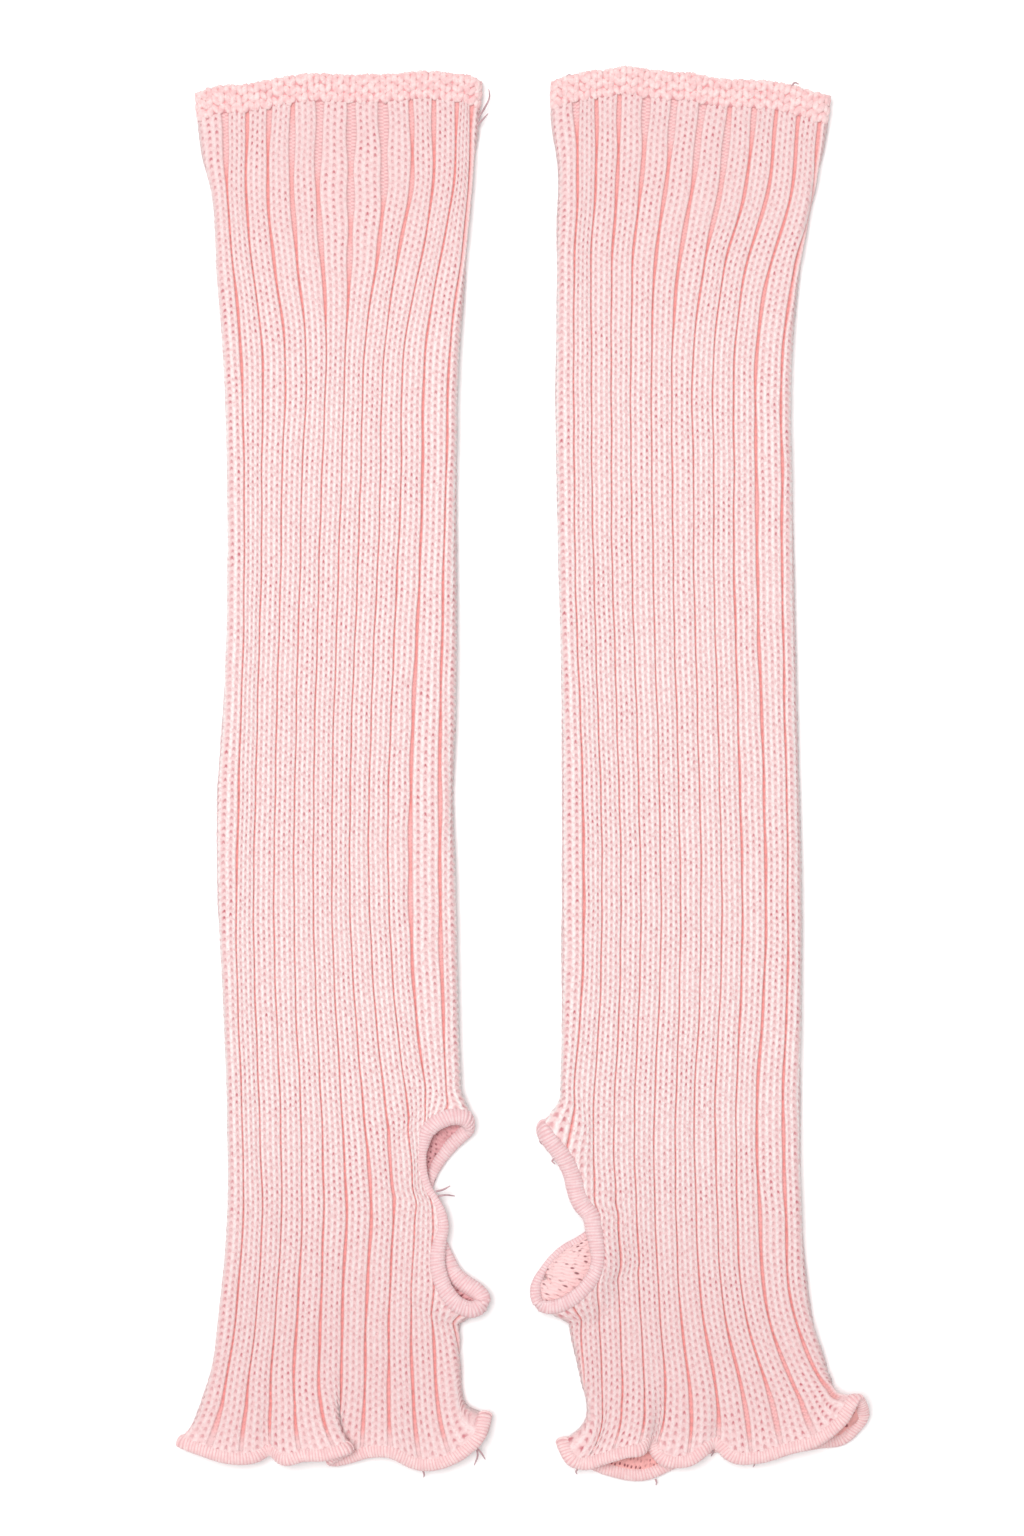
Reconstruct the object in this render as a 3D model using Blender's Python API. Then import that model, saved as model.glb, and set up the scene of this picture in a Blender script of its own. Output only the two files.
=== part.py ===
"""A pair of rib-knit ankle warmers, laid out flat side by side with their backs on the table.

Each warmer is one knitted tube, pressed flat: a folded welt at the top, a hole for the heel cut out
of its inner fold, and overlocked, frilled edges round the hole and round the hem. Metres, Z up.

Places on a warmer are given in millimetres by
    reach   sideways from its middle line, plus towards the other warmer
    down    from the top of the welt towards the hem
    height  above the table, of the middle of the cloth
and by `round`, the share of the way round the tube: 0 at the inner fold, along the front to 0.5 at
the outer fold, and back under to 1.
"""
import math

import bpy
import numpy as np

MM = 0.001

# The cloth
WALL = 2.4              # thickness of the rib knit
INSIDE = 1.2            # air left between the two layers
FOLD = (WALL + INSIDE) / 2      # radius of the side folds, at the middle of the cloth
WELT_WALL = 2.8         # the welt is knitted double
WELT_HEIGHT = 8.6
EDGE_WIDTH = 3.6        # overlocked edge, across its threads
EDGE_THICK = 3.0
SEAM = 0.3              # kept between neighbouring pieces
SEAM_ROOM = 0.45        # the same beside the overlocked edges, which bend

# The lay-out
TOP_AT = 241.6          # of both warmers, up the table from the middle of the pair
HEM_AT = 472.0          # down, where the hem would hang without its frill
FRILL_RISE = 36.0       # how far above the hem its waves start
CROWN_FADE = 150.0      # the welt's slope has died out this far down
HOLE_HALF = 8.5         # half the width of the heel hole as cut, before its edge was stretched
OUTWARD_SPREAD = 11.0   # how far an edge that is pulled out drags the cloth beside it
INWARD_SPREAD = 26.0    # the same for an edge that is pushed in or along
LIFT_SPREAD = 15.0      # the same for an edge that stands up
HOLE_WEIGHTS = (0.45, 1.0, 0.45)    # its edge is paced mostly down the warmer

PINK = (0.91, 0.52, 0.51, 1.0)
PINK_EDGE = (0.94, 0.59, 0.58, 1.0)

LEFT = {
    "side": 1, "middle": -64.2,
    "levels": """
        down   outer  inner
        0      48.4   50.0
        9      47.6   49.4
        36     42.8   47.8
        64     41.1   44.9
        94     39.0   42.1
        146    37.4   41.1
        215    39.7   38.6
        250    40.7   37.6
        318    39.3   40.0
        353    37.3   42.2
        383    36.9   41.4
        407    38.0   41.6
        426    40.4   42.8
        446    43.6   43.6
        460    47.6   45.4
        472    51.5   48.5""",
    "crown": """
        across dip
        0      2.4
        0.06   1.0
        0.2    -0.3
        0.4    0.1
        0.65   1.3
        0.82   2.4
        1      6.0""",
    "hole": (359.5, 423.5),
    "hole_edge": """
        reach  down   height
        46.0   361.4  4.9
        44.8   359.6  6.3
        41.4   358.8  7.1
        36.6   360.0  7.4
        32.6   363.0  7.2
        31.0   367.6  6.6
        30.4   373.6  5.8
        31.1   379.2  5.4
        32.8   384.0  5.2
        35.2   387.6  5.6
        37.0   391.9  5.8
        37.6   396.4  5.8
        36.4   401.4  5.8
        35.5   408.6  6.6
        36.8   414.4  7.0
        39.2   419.2  7.6
        42.8   422.8  7.8
        47.2   424.2  7.4
        50.4   423.0  6.6
        51.4   420.2  5.6
        49.4   417.4  4.6
        45.6   415.0  3.8
        41.8   412.2  3.0
        38.8   408.2  2.2
        35.4   401.2  1.6
        32.8   395.0  1.5
        31.9   387.4  1.5
        32.8   381.2  1.5
        35.2   375.7  1.6
        39.0   370.2  1.9
        43.2   365.8  2.6
        45.4   363.6  3.4""",
    "bottom_of_hole": 19,
    "hem": """
        reach  down   height
        52.0   461.4  5.4
        50.4   467.6  8.2
        45.6   472.6  8.4
        37.0   477.4  7.4
        29.6   479.0  6.2
        18.5   473.8  6.6
        9.5    474.0  5.6
        3.5    472.6  8.0
        -8.0   474.8  9.2
        -18.0  476.0  7.6
        -22.5  474.4  6.4
        -35.2  475.5  7.8
        -45.6  473.8  7.4
        -53.6  470.4  4.4
        -47.6  471.4  2.0
        -36.0  473.2  1.5
        -20.0  472.4  1.5
        -4.0   473.4  2.2
        10.0   472.2  1.5
        24.0   473.8  1.5
        36.0   474.4  2.2
        46.0   472.2  2.2
        51.2   467.2  3.0""",
    "outer_tip": 13,
}

RIGHT = {
    "side": -1, "middle": 54.2,
    "levels": """
        down   outer  inner
        0      52.4   43.2
        12     51.4   43.4
        30     48.6   41.8
        49     45.2   41.7
        78     41.1   42.0
        112    37.8   42.3
        147    38.6   42.4
        216    40.7   41.1
        285    42.0   40.7
        340    41.4   40.4
        383    41.4   40.0
        408    42.8   39.6
        428    46.0   38.2
        446    51.0   34.2
        460    56.0   34.0
        472    59.0   38.0""",
    "crown": """
        across dip
        0      2.4
        0.07   0.8
        0.25   -1.4
        0.4    0.3
        0.6    1.7
        0.78   3.4
        0.94   5.4
        1      7.0""",
    "hole": (362.6, 423.0),
    "hole_edge": """
        reach  down   height
        47.2   363.2  4.0
        46.3   364.8  5.9
        44.4   367.4  6.5
        40.7   371.8  6.2
        37.2   378.5  5.4
        35.8   384.3  5.4
        34.2   388.4  5.6
        31.0   392.4  6.0
        30.0   397.0  6.6
        29.2   401.6  7.2
        28.6   406.0  7.8
        29.4   411.4  8.2
        32.6   416.6  8.4
        37.0   420.4  8.2
        41.6   422.8  7.8
        46.0   423.4  7.2
        48.6   421.8  6.6
        49.2   418.6  5.8
        47.8   414.8  4.8
        45.0   411.4  4.0
        41.2   408.2  3.2
        38.2   404.8  2.4
        35.8   400.4  1.7
        34.8   394.4  1.5
        36.2   386.4  1.5
        39.0   378.2  1.5
        44.2   369.4  1.6
        46.4   365.4  2.2""",
    "bottom_of_hole": 17,
    "hem": """
        reach  down   height
        41.4   470.6  4.8
        38.8   475.6  7.4
        33.8   478.8  7.6
        27.0   475.9  8.8
        19.0   473.4  10.0
        12.4   472.6  9.4
        6.6    476.2  6.6
        -2.4   476.6  6.4
        -8.0   473.8  7.2
        -11.6  472.8  6.2
        -18.0  475.4  6.4
        -26.0  476.8  6.8
        -37.0  474.6  8.2
        -48.2  469.4  10.4
        -55.4  462.0  11.4
        -61.0  456.4  8.4
        -64.0  461.0  4.4
        -59.6  467.8  2.4
        -47.6  471.6  1.5
        -30.0  473.0  1.5
        -10.0  473.4  1.5
        3.0    479.0  1.8
        12.0   482.6  2.2
        23.0   481.4  2.2
        33.0   477.2  2.0
        39.4   473.2  2.4""",
    "outer_tip": 15,
}

WARMERS = {"left": LEFT, "right": RIGHT}


def rows(table):
    """The columns of a table written out under their names, by name."""
    lines = [line.split() for line in table.strip().splitlines()]
    values = np.array(lines[1:], float)
    return {name: values[:, k] for k, name in enumerate(lines[0])}


def smooth_through(places, values, at, closed=False):
    """A smooth curve through the values at these places, read at `at`; a closed one starts over."""
    if closed:
        period = places[-1] - places[0]
        places = np.concatenate([[places[-2] - period], places, [places[1] + period]])
        values = np.concatenate([[values[-2]], values, [values[1]]])
    slopes = np.gradient(values, places)
    if closed:
        places, values, slopes = places[1:-1], values[1:-1], slopes[1:-1]
    at = np.clip(at, places[0], places[-1])
    k = np.clip(np.searchsorted(places, at, side="right") - 1, 0, len(places) - 2)
    span = places[k + 1] - places[k]
    t = (at - places[k]) / span
    rise = values[k + 1] - values[k]
    start, end = slopes[k] * span, slopes[k + 1] * span
    return values[k] + t * (start + t * (3 * rise - 2 * start - end + t * (start + end - 2 * rise)))


def chord_shares(points):
    """How far along the line through these points each one lies, from 0 to 1."""
    steps = np.linalg.norm(np.diff(points, axis=0), axis=1)
    along = np.concatenate([[0.0], np.cumsum(steps)])
    return along / along[-1]


def fade(share):
    """1 at 0, easing down to 0 at 1 and beyond."""
    left = 1 - np.clip(share, 0, 1)
    return left * left * (3 - 2 * left)


def unit(vectors):
    return vectors / np.linalg.norm(vectors, axis=-1, keepdims=True)


def edge_line(table, halfway, share, weights=(1.0, 1.0, 1.0)):
    """A closed edge's (reach, down, height), with this row of its table held at a share of 0.5.
    Shares go by the length of the edge, with these weights on its three directions."""
    edge = rows(table)
    points = np.stack([edge["reach"], edge["down"], edge["height"]], axis=1)
    points = np.concatenate([points, points[:1]])
    paced = points * weights
    front, back = chord_shares(paced[: halfway + 1]), chord_shares(paced[halfway:])
    along = np.concatenate([front / 2, 0.5 + back[1:] / 2])
    return [smooth_through(along, points[:, k], share, closed=True) for k in range(3)]


def widths(warmer, down):
    """(outer, inner) distances of the two folds from the middle line."""
    levels = rows(warmer["levels"])
    return [smooth_through(levels["down"], levels[side], down) for side in ("outer", "inner")]


def half_girth(warmer, down):
    outer, inner = widths(warmer, down)
    return outer + inner + (math.pi - 2) * FOLD


def flat_loop(outer, inner, from_fold):
    """The front half of a section of the pressed tube, as (reach, height over its middle), read at
    a distance round it from the inner fold."""
    straight = outer + inner - 2 * FOLD
    quarter = math.pi * FOLD / 2
    near = np.clip(from_fold / FOLD, 0, math.pi / 2)
    far = np.clip((from_fold - quarter - straight) / FOLD, 0, math.pi / 2)
    level = np.clip(from_fold - quarter, 0, straight)
    reach = inner - FOLD + FOLD * np.cos(near) - level - FOLD * np.sin(far)
    height = FOLD * np.sin(near) - FOLD * (1 - np.cos(far))
    return reach, height


def pull_of_hole(warmer, down, from_fold, front, lie):
    """How far the hole's stretched edge drags this spot of the cloth: (reach, down, height)."""
    top, bottom = warmer["hole"]
    heart = np.clip(down, top + HOLE_HALF, bottom - HOLE_HALF)
    angle = np.arctan2(from_fold, heart - down)
    away = np.hypot(from_fold, down - heart) - HOLE_HALF
    length = bottom - top + (math.pi - 2) * HOLE_HALF
    share = (HOLE_HALF * angle + heart - top - HOLE_HALF) / length
    rim_down = heart - HOLE_HALF * np.cos(angle)
    rim_reach, rim_height = flat_loop(*widths(warmer, rim_down), HOLE_HALF * np.sin(angle))
    turn = np.where(front, share / 2, 1 - share / 2)
    hole = warmer["hole_edge"], warmer["bottom_of_hole"]
    to_reach, to_down, to_height = edge_line(*hole, turn, HOLE_WEIGHTS)
    pull = to_reach - rim_reach
    inward = np.clip(-pull / 3, 0, 1)
    spread = OUTWARD_SPREAD + (INWARD_SPREAD - OUTWARD_SPREAD) * inward
    drag = fade(away / spread)
    lift = to_height - lie - np.where(front, rim_height, -rim_height)
    drop = (to_down - rim_down) * fade(away / INWARD_SPREAD)
    return pull * drag, drop, lift * fade(away / LIFT_SPREAD)


def middle_of_cloth(warmer, down, round_, wall=WALL):
    """(reach, down, height) of the middle of the cloth at this distance down and share round."""
    down, round_ = np.broadcast_arrays(np.asarray(down, float), np.asarray(round_, float) % 1)
    front = round_ <= 0.5
    side = np.where(front, 1.0, -1.0)
    across = 2 * np.where(front, round_, 1 - round_)
    from_fold = across * half_girth(warmer, down)
    lie = FOLD + wall / 2
    reach, height = flat_loop(*widths(warmer, down), from_fold)
    pull, drop, lift = pull_of_hole(warmer, down, from_fold, front, lie)
    reach, place, height = reach + pull, down + drop, lie + side * height + lift

    crown = rows(warmer["crown"])
    dip = smooth_through(crown["across"], crown["dip"], across)
    place = place + dip * fade(down / CROWN_FADE)

    rise = np.clip((down - HEM_AT + FRILL_RISE) / FRILL_RISE, 0, None) ** 2.2
    end_reach, end_height = flat_loop(*widths(warmer, HEM_AT), across * half_girth(warmer, HEM_AT))
    hem = edge_line(warmer["hem"], warmer["outer_tip"], round_)
    reach = reach + rise * (hem[0] - end_reach)
    place = place + rise * (hem[1] - HEM_AT)
    height = height + rise * (hem[2] - lie - side * end_height)
    return np.stack([reach, place, height], axis=-1)


def outward(warmer, down, round_, wall=WALL):
    """The cloth's unit normal, away from the inside of the tube."""
    step = 0.2
    turn = step / (2 * half_girth(warmer, down))
    across = middle_of_cloth(warmer, down, round_ + turn, wall)
    across = across - middle_of_cloth(warmer, down, round_ - turn, wall)
    along = middle_of_cloth(warmer, down + step, round_, wall)
    along = along - middle_of_cloth(warmer, down - step, round_, wall)
    return unit(np.cross(along, across))


def hole_rim(warmer, turn, away=0.0):
    """(down, round) of a spot on the hole's edge, or this far outside it. turn is 0 at its top, 0.5
    at its bottom, reached down the front, and 1 at its top again."""
    top, bottom = warmer["hole"]
    straight = bottom - top - 2 * HOLE_HALF
    quarter = math.pi * HOLE_HALF / 2
    turn = np.asarray(turn, float) % 1
    front = turn <= 0.5
    along = 2 * np.where(front, turn, 1 - turn) * (straight + 2 * quarter)
    angle = np.clip(along / HOLE_HALF, 0, math.pi / 2)
    angle = angle + np.clip((along - quarter - straight) / HOLE_HALF, 0, math.pi / 2)
    heart = top + HOLE_HALF + np.clip(along - quarter, 0, straight)
    down = heart - (HOLE_HALF + away) * np.cos(angle)
    share = (HOLE_HALF + away) * np.sin(angle) / (2 * half_girth(warmer, down))
    return down, np.where(front, share, -share)


def edge_frames(warmer, downs, shares):
    """The middle of an overlocked edge along a closed line on the cloth, with the directions along
    it, beside it in the cloth, and square to the cloth."""
    middle = middle_of_cloth(warmer, downs, shares)
    middle[:, 2] = np.maximum(middle[:, 2], EDGE_THICK / 2)
    along = unit(np.roll(middle, -1, axis=0) - np.roll(middle, 1, axis=0))
    beside = unit(np.cross(along, outward(warmer, downs, shares)))
    return middle, along, beside, np.cross(beside, along)


def clear_of(warmer, edge, spots_at):
    """How far from an overlocked edge the knit has to end so as not to touch it. spots_at gives
    the knit's (down, round) at such a distance, measured on the unstretched cloth."""
    frames = [line[:, None] for line in edge_frames(warmer, *edge)]
    part = np.linspace(0, 1, 8, endpoint=False)[:, None]
    middle, along, beside, normal = [
        (line * (1 - part) + np.roll(line, -1, axis=0) * part).reshape(-1, 3) for line in frames]
    found = np.inf
    for distance in np.arange(EDGE_WIDTH / 2, 4 * EDGE_WIDTH, 0.05):
        spots = spots_at(distance)
        cloth = middle_of_cloth(warmer, *spots)[:, None]
        through = outward(warmer, *spots)[:, None] * np.linspace(-WALL / 2, WALL / 2, 5)[:, None]
        gap = (cloth + through)[:, :, None] - middle
        sideways = np.sum(gap * beside, axis=-1) / (EDGE_WIDTH / 2 + SEAM_ROOM)
        up = np.sum(gap * normal, axis=-1) / (EDGE_THICK / 2 + SEAM_ROOM)
        beyond = np.abs(np.sum(gap * along, axis=-1)) > EDGE_WIDTH / 2
        clear = np.all(beyond | (np.hypot(sideways, up) >= 1), axis=(1, 2))
        found = np.minimum(found, np.where(clear, distance, np.inf))
        if np.all(np.isfinite(found)):
            break
    return found


def in_world(warmer, points):
    """(reach, down, height) in millimetres as X, Y, Z in metres."""
    reach, down, height = np.moveaxis(np.asarray(points), -1, 0)
    x = warmer["middle"] + warmer["side"] * reach
    return MM * np.stack([x, TOP_AT - down, height], axis=-1)


def new_piece(name, warmer, points, faces, material):
    """A named, smooth-shaded object from points in millimetres and faces that point outwards."""
    if warmer["side"] > 0:      # such a warmer's own frame is mirrored in the world
        faces = [face[::-1] for face in faces]
    mesh = bpy.data.meshes.new(name)
    mesh.from_pydata([tuple(p) for p in in_world(warmer, points)], [], faces)
    mesh.update()
    mesh.shade_smooth()
    mesh.set_sharp_from_angle(angle=math.radians(50))
    mesh.materials.append(material)
    piece = bpy.data.objects.new(name, mesh)
    bpy.context.collection.objects.link(piece)
    return piece


def columns(first_step):
    """Shares round the tube: the inner fold's own step, then even ones, close on the outer fold."""
    turn = math.pi * FOLD / 4 / 160
    front = np.linspace(2 * first_step, 0.5 - 2 * turn, FRONT_COLUMNS)
    back = np.linspace(0.5 + 2 * turn, 1 - 2 * first_step, BACK_COLUMNS)
    outer = [0.5 - turn, 0.5, 0.5 + turn]
    return np.concatenate([[0, first_step], front, outer, back, [1 - first_step, 1]])


FOLD_STEP = 0.009       # a share round: half the quarter turn of a fold
APEX_STEP = 0.014       # at the top and the bottom of the hole
RIM_STEP = 0.026        # beside the hole, where there is no fold
FRONT_COLUMNS = 13
BACK_COLUMNS = 10


def ring(warmer, downs, starts=(0.0, 0.0), step=FOLD_STEP, wall=WALL, far_down=None):
    """One ring of the tube: the middle of its cloth and its normals. On the front and on the back
    it starts at its own share from the inner fold and its own distance down, and it may run at
    another distance down where it is away from that fold."""
    shares = starts[0] + (1 - starts[0] - starts[1]) * columns(step)
    front = shares <= 0.5
    near = fade(np.where(front, shares - starts[0], 1 - starts[1] - shares) / NEAR_HOLE)
    near_down = np.where(front, downs[0], downs[1])
    downs = near_down * near + (near_down if far_down is None else far_down) * (1 - near)
    return middle_of_cloth(warmer, downs, shares, wall), outward(warmer, downs, shares, wall)


def level_ring(warmer, down, wall=WALL):
    """A ring all at one distance down, away from the hole."""
    return (*ring(warmer, (down, down), wall=wall), False)


def hole_turns():
    """Turns round the hole's edge, closer together at its top and bottom."""
    even = np.linspace(0, 1, 2 * HOLE_ROWS - 2, endpoint=False)
    return even - TIP_CROWDING * np.sin(4 * math.pi * even) / (4 * math.pi)


def tube_rings(warmer):
    """The tube's rings from the welt to the hem, with True for those that the hole cuts."""
    found = [level_ring(warmer, down) for down in TUBE_LEG]

    # Beside the hole a ring starts and ends on the cloth's edge, clear of the overlock.
    turns, sides = hole_turns(), []
    for side_turns in (turns[:HOLE_ROWS], -turns[:HOLE_ROWS]):
        away = clear_of(warmer, hole_rim(warmer, turns),
                        lambda distance: hole_rim(warmer, side_turns, distance))
        sides.append(hole_rim(warmer, side_turns, away))
    far_downs = np.linspace(TUBE_LEG[-1], TUBE_FOOT[0], HOLE_ROWS + 2)[1:-1]
    for k in range(HOLE_ROWS):
        cut = 0 < k < HOLE_ROWS - 1
        downs = [side[0][k] for side in sides]
        starts = [abs(side[1][k]) if cut else 0.0 for side in sides]
        step = RIM_STEP if cut else APEX_STEP
        found.append((*ring(warmer, downs, starts, step, far_down=far_downs[k]), cut))

    found += [level_ring(warmer, down) for down in TUBE_FOOT]
    shares = columns(FOLD_STEP)
    level = np.full(len(shares), HEM_AT)
    downs = HEM_AT - clear_of(warmer, (level[:-1], shares[:-1]),
                              lambda distance: (level - distance, shares))
    return [*found, (middle_of_cloth(warmer, downs, shares), outward(warmer, downs, shares), False)]


def cloth_wall(name, warmer, rings, thick, material):
    """A wall of cloth through these rings, closed along the inner fold but where the hole cuts it."""
    last = len(rings[0][0]) - 1
    thick = np.broadcast_to(thick, len(rings))
    index, outside, inside, count = [], [], [], 0
    for (middle, normal, cut), wall in zip(rings, thick):
        kept = last + int(cut)
        outside.append((middle + normal * wall / 2)[:kept])
        inside.append((middle - normal * wall / 2)[:kept])
        index.append([count + k % kept for k in range(last + 1)])
        count += kept
    faces = []
    for j in range(len(rings) - 1):
        here, below = index[j], index[j + 1]
        for k in range(last):
            a, b, c, d = here[k], below[k], below[k + 1], here[k + 1]
            faces += [(a, b, c, d), (d + count, c + count, b + count, a + count)]
        if rings[j][2] or rings[j + 1][2]:
            for near, far in ((here[0], below[0]), (below[last], here[last])):
                faces.append((near, near + count, far + count, far))
    for k in range(last):
        a, b = index[0][k], index[0][k + 1]
        faces.append((a, b, b + count, a + count))
        a, b = index[-1][k], index[-1][k + 1]
        faces.append((b, a, a + count, b + count))
    return new_piece(name, warmer, np.concatenate(outside + inside), faces, material)


def bound_edge(name, warmer, downs, shares, material):
    """An overlocked edge: an oval bundle of thread along a closed line on the cloth."""
    corners = 6
    middle, along, beside, normal = edge_frames(warmer, downs, shares)
    points, faces, count = [], [], len(middle)
    for k in range(corners):
        angle = 2 * math.pi * k / corners
        sideways, up = math.cos(angle) * EDGE_WIDTH / 2, math.sin(angle) * EDGE_THICK / 2
        points.append(middle + beside * sideways + normal * up)
        for j in range(count):
            ahead, next_k = (j + 1) % count, (k + 1) % corners
            faces.append((k * count + j, k * count + ahead,
                          next_k * count + ahead, next_k * count + j))
    return new_piece(name, warmer, np.concatenate(points), faces, material)


def knit(name, colour):
    """Brushed acrylic knit: matt, with no metal in it."""
    material = bpy.data.materials.new(name)
    material.use_nodes = True
    shader = material.node_tree.nodes["Principled BSDF"]
    shader.inputs["Base Color"].default_value = colour
    shader.inputs["Roughness"].default_value = 0.9
    shader.inputs["Metallic"].default_value = 0.0
    material.diffuse_color = colour
    return material


# Rings of the tube: few down the plain leg, closer at the hole and the hem.
TUBE_LEG = [WELT_HEIGHT + 2 * SEAM, 30, 62, 96, 146, 215, 284, 334, 351]
HOLE_ROWS = 17
TIP_CROWDING = 0.55
NEAR_HOLE = 0.1         # a share round, from the hole's edge to where rings are evenly apart
TUBE_FOOT = [434, 440, 446, 452, 458, 464]
WELT_ROWS = [0, 1.2, WELT_HEIGHT - 1.2, WELT_HEIGHT]
WELT_THICK = [0.55 * WELT_WALL, WELT_WALL, WELT_WALL, 0.8 * WELT_WALL]


def ankle_warmer(side, warmer):
    """All the pieces of one warmer, under one empty."""
    fabric, edging = knit(f"{side}_rib_knit", PINK), knit(f"{side}_overlock", PINK_EDGE)
    welt = [level_ring(warmer, down, WELT_WALL) for down in WELT_ROWS]
    hem = columns(FOLD_STEP)[:-1]
    pieces = [
        cloth_wall(f"{side}_welt", warmer, welt, WELT_THICK, fabric),
        cloth_wall(f"{side}_tube", warmer, tube_rings(warmer), WALL, fabric),
        bound_edge(f"{side}_heel_edge", warmer, *hole_rim(warmer, hole_turns()), edging),
        bound_edge(f"{side}_hem_edge", warmer, np.full(len(hem), HEM_AT), hem, edging),
    ]
    holder = bpy.data.objects.new(f"{side}_warmer", None)
    bpy.context.collection.objects.link(holder)
    for piece in pieces:
        piece.parent = holder


for old in list(bpy.data.objects):
    bpy.data.objects.remove(old, do_unlink=True)
for name, shape in WARMERS.items():
    ankle_warmer(name, shape)
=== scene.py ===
"""A pair of pink rib-knit ankle warmers laid out flat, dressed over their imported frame.

Metres, Z up, the table at Z = 0. Places on a warmer are worked out in millimetres, as in its CAD:
    reach   sideways from its middle line, plus towards the other warmer
    down    from the top of the welt towards the hem
    height  above the table, of the middle of the cloth
and by `round`, the share of the way round the tube: 0 at the inner fold, along the front to 0.5 at
the outer fold, and back under to 1.
"""
import math

import bmesh
import bpy
import numpy as np
from mathutils import Matrix


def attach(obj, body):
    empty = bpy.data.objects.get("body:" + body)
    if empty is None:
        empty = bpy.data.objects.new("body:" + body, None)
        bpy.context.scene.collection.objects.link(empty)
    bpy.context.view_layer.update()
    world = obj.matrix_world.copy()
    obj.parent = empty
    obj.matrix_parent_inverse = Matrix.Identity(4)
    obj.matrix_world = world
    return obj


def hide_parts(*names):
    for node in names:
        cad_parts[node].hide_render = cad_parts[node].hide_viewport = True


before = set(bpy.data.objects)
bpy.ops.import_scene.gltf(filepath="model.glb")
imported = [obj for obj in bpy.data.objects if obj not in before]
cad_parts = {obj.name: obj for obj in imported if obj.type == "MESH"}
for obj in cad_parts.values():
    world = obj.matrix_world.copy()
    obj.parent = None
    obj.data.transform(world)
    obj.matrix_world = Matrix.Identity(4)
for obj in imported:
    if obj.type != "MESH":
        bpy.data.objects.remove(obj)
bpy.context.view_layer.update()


# ---- The knitted tubes ---------------------------------------------------------------------------
# Each warmer is one tube of 3x1 rib in soft acrylic yarn: three knit wales and a purl furrow, 23
# times round. It is knitted in the round, without a seam, and pressed flat. The heel hole is cut
# out of its inner fold afterwards, and pulls the cloth round it out of shape.

MM = 0.001
WALL = 2.4              # thickness of the rib knit
INSIDE = 1.2            # air between the two layers
FOLD = (WALL + INSIDE) / 2      # radius of the side folds, at the middle of the cloth
TOP_AT = 241.6          # of both warmers, up the table from the middle of the pair
HEM_AT = 472.0          # down, where the hem would hang without its frill
FRILL_RISE = 36.0       # how far above the hem its waves start
CORNER = 0.06           # of the way round, to either side of a fold, where the hem sticks out as an ear
CROWN_FADE = 150.0      # the welt's slope has died out this far down
HOLE_HALF = 8.5         # half the width of the heel hole, before its `cut` table changes it
OUTWARD_SPREAD = 11.0   # how far an edge that is pulled out drags the cloth beside it
INWARD_SPREAD = 26.0    # the same for an edge that is pushed in or along
LIFT_SPREAD = 15.0      # the same for an edge that stands up
UNDER_HOLE = 0.6        # of these spreads, what is left below the hole, where it overhangs
UNDER_FROM = 1.7        # the angle round the hole's lower end at which that begins
UNDER_OVER = 1.2        # and over how much more it does so
PUSHED_IN = 3.0         # an edge pushed in this far has the whole inward spread
FRILL_RISE_POWER = 2.2  # how late in FRILL_RISE the hem's waves lift the cloth
FLARE_POWER = 3.2       # how late they widen it
CORNER_POWER = 5.8      # how much later at its corners
HOLE_WEIGHTS = (0.45, 1.0, 0.45)    # its edge is paced mostly down the warmer

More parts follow.
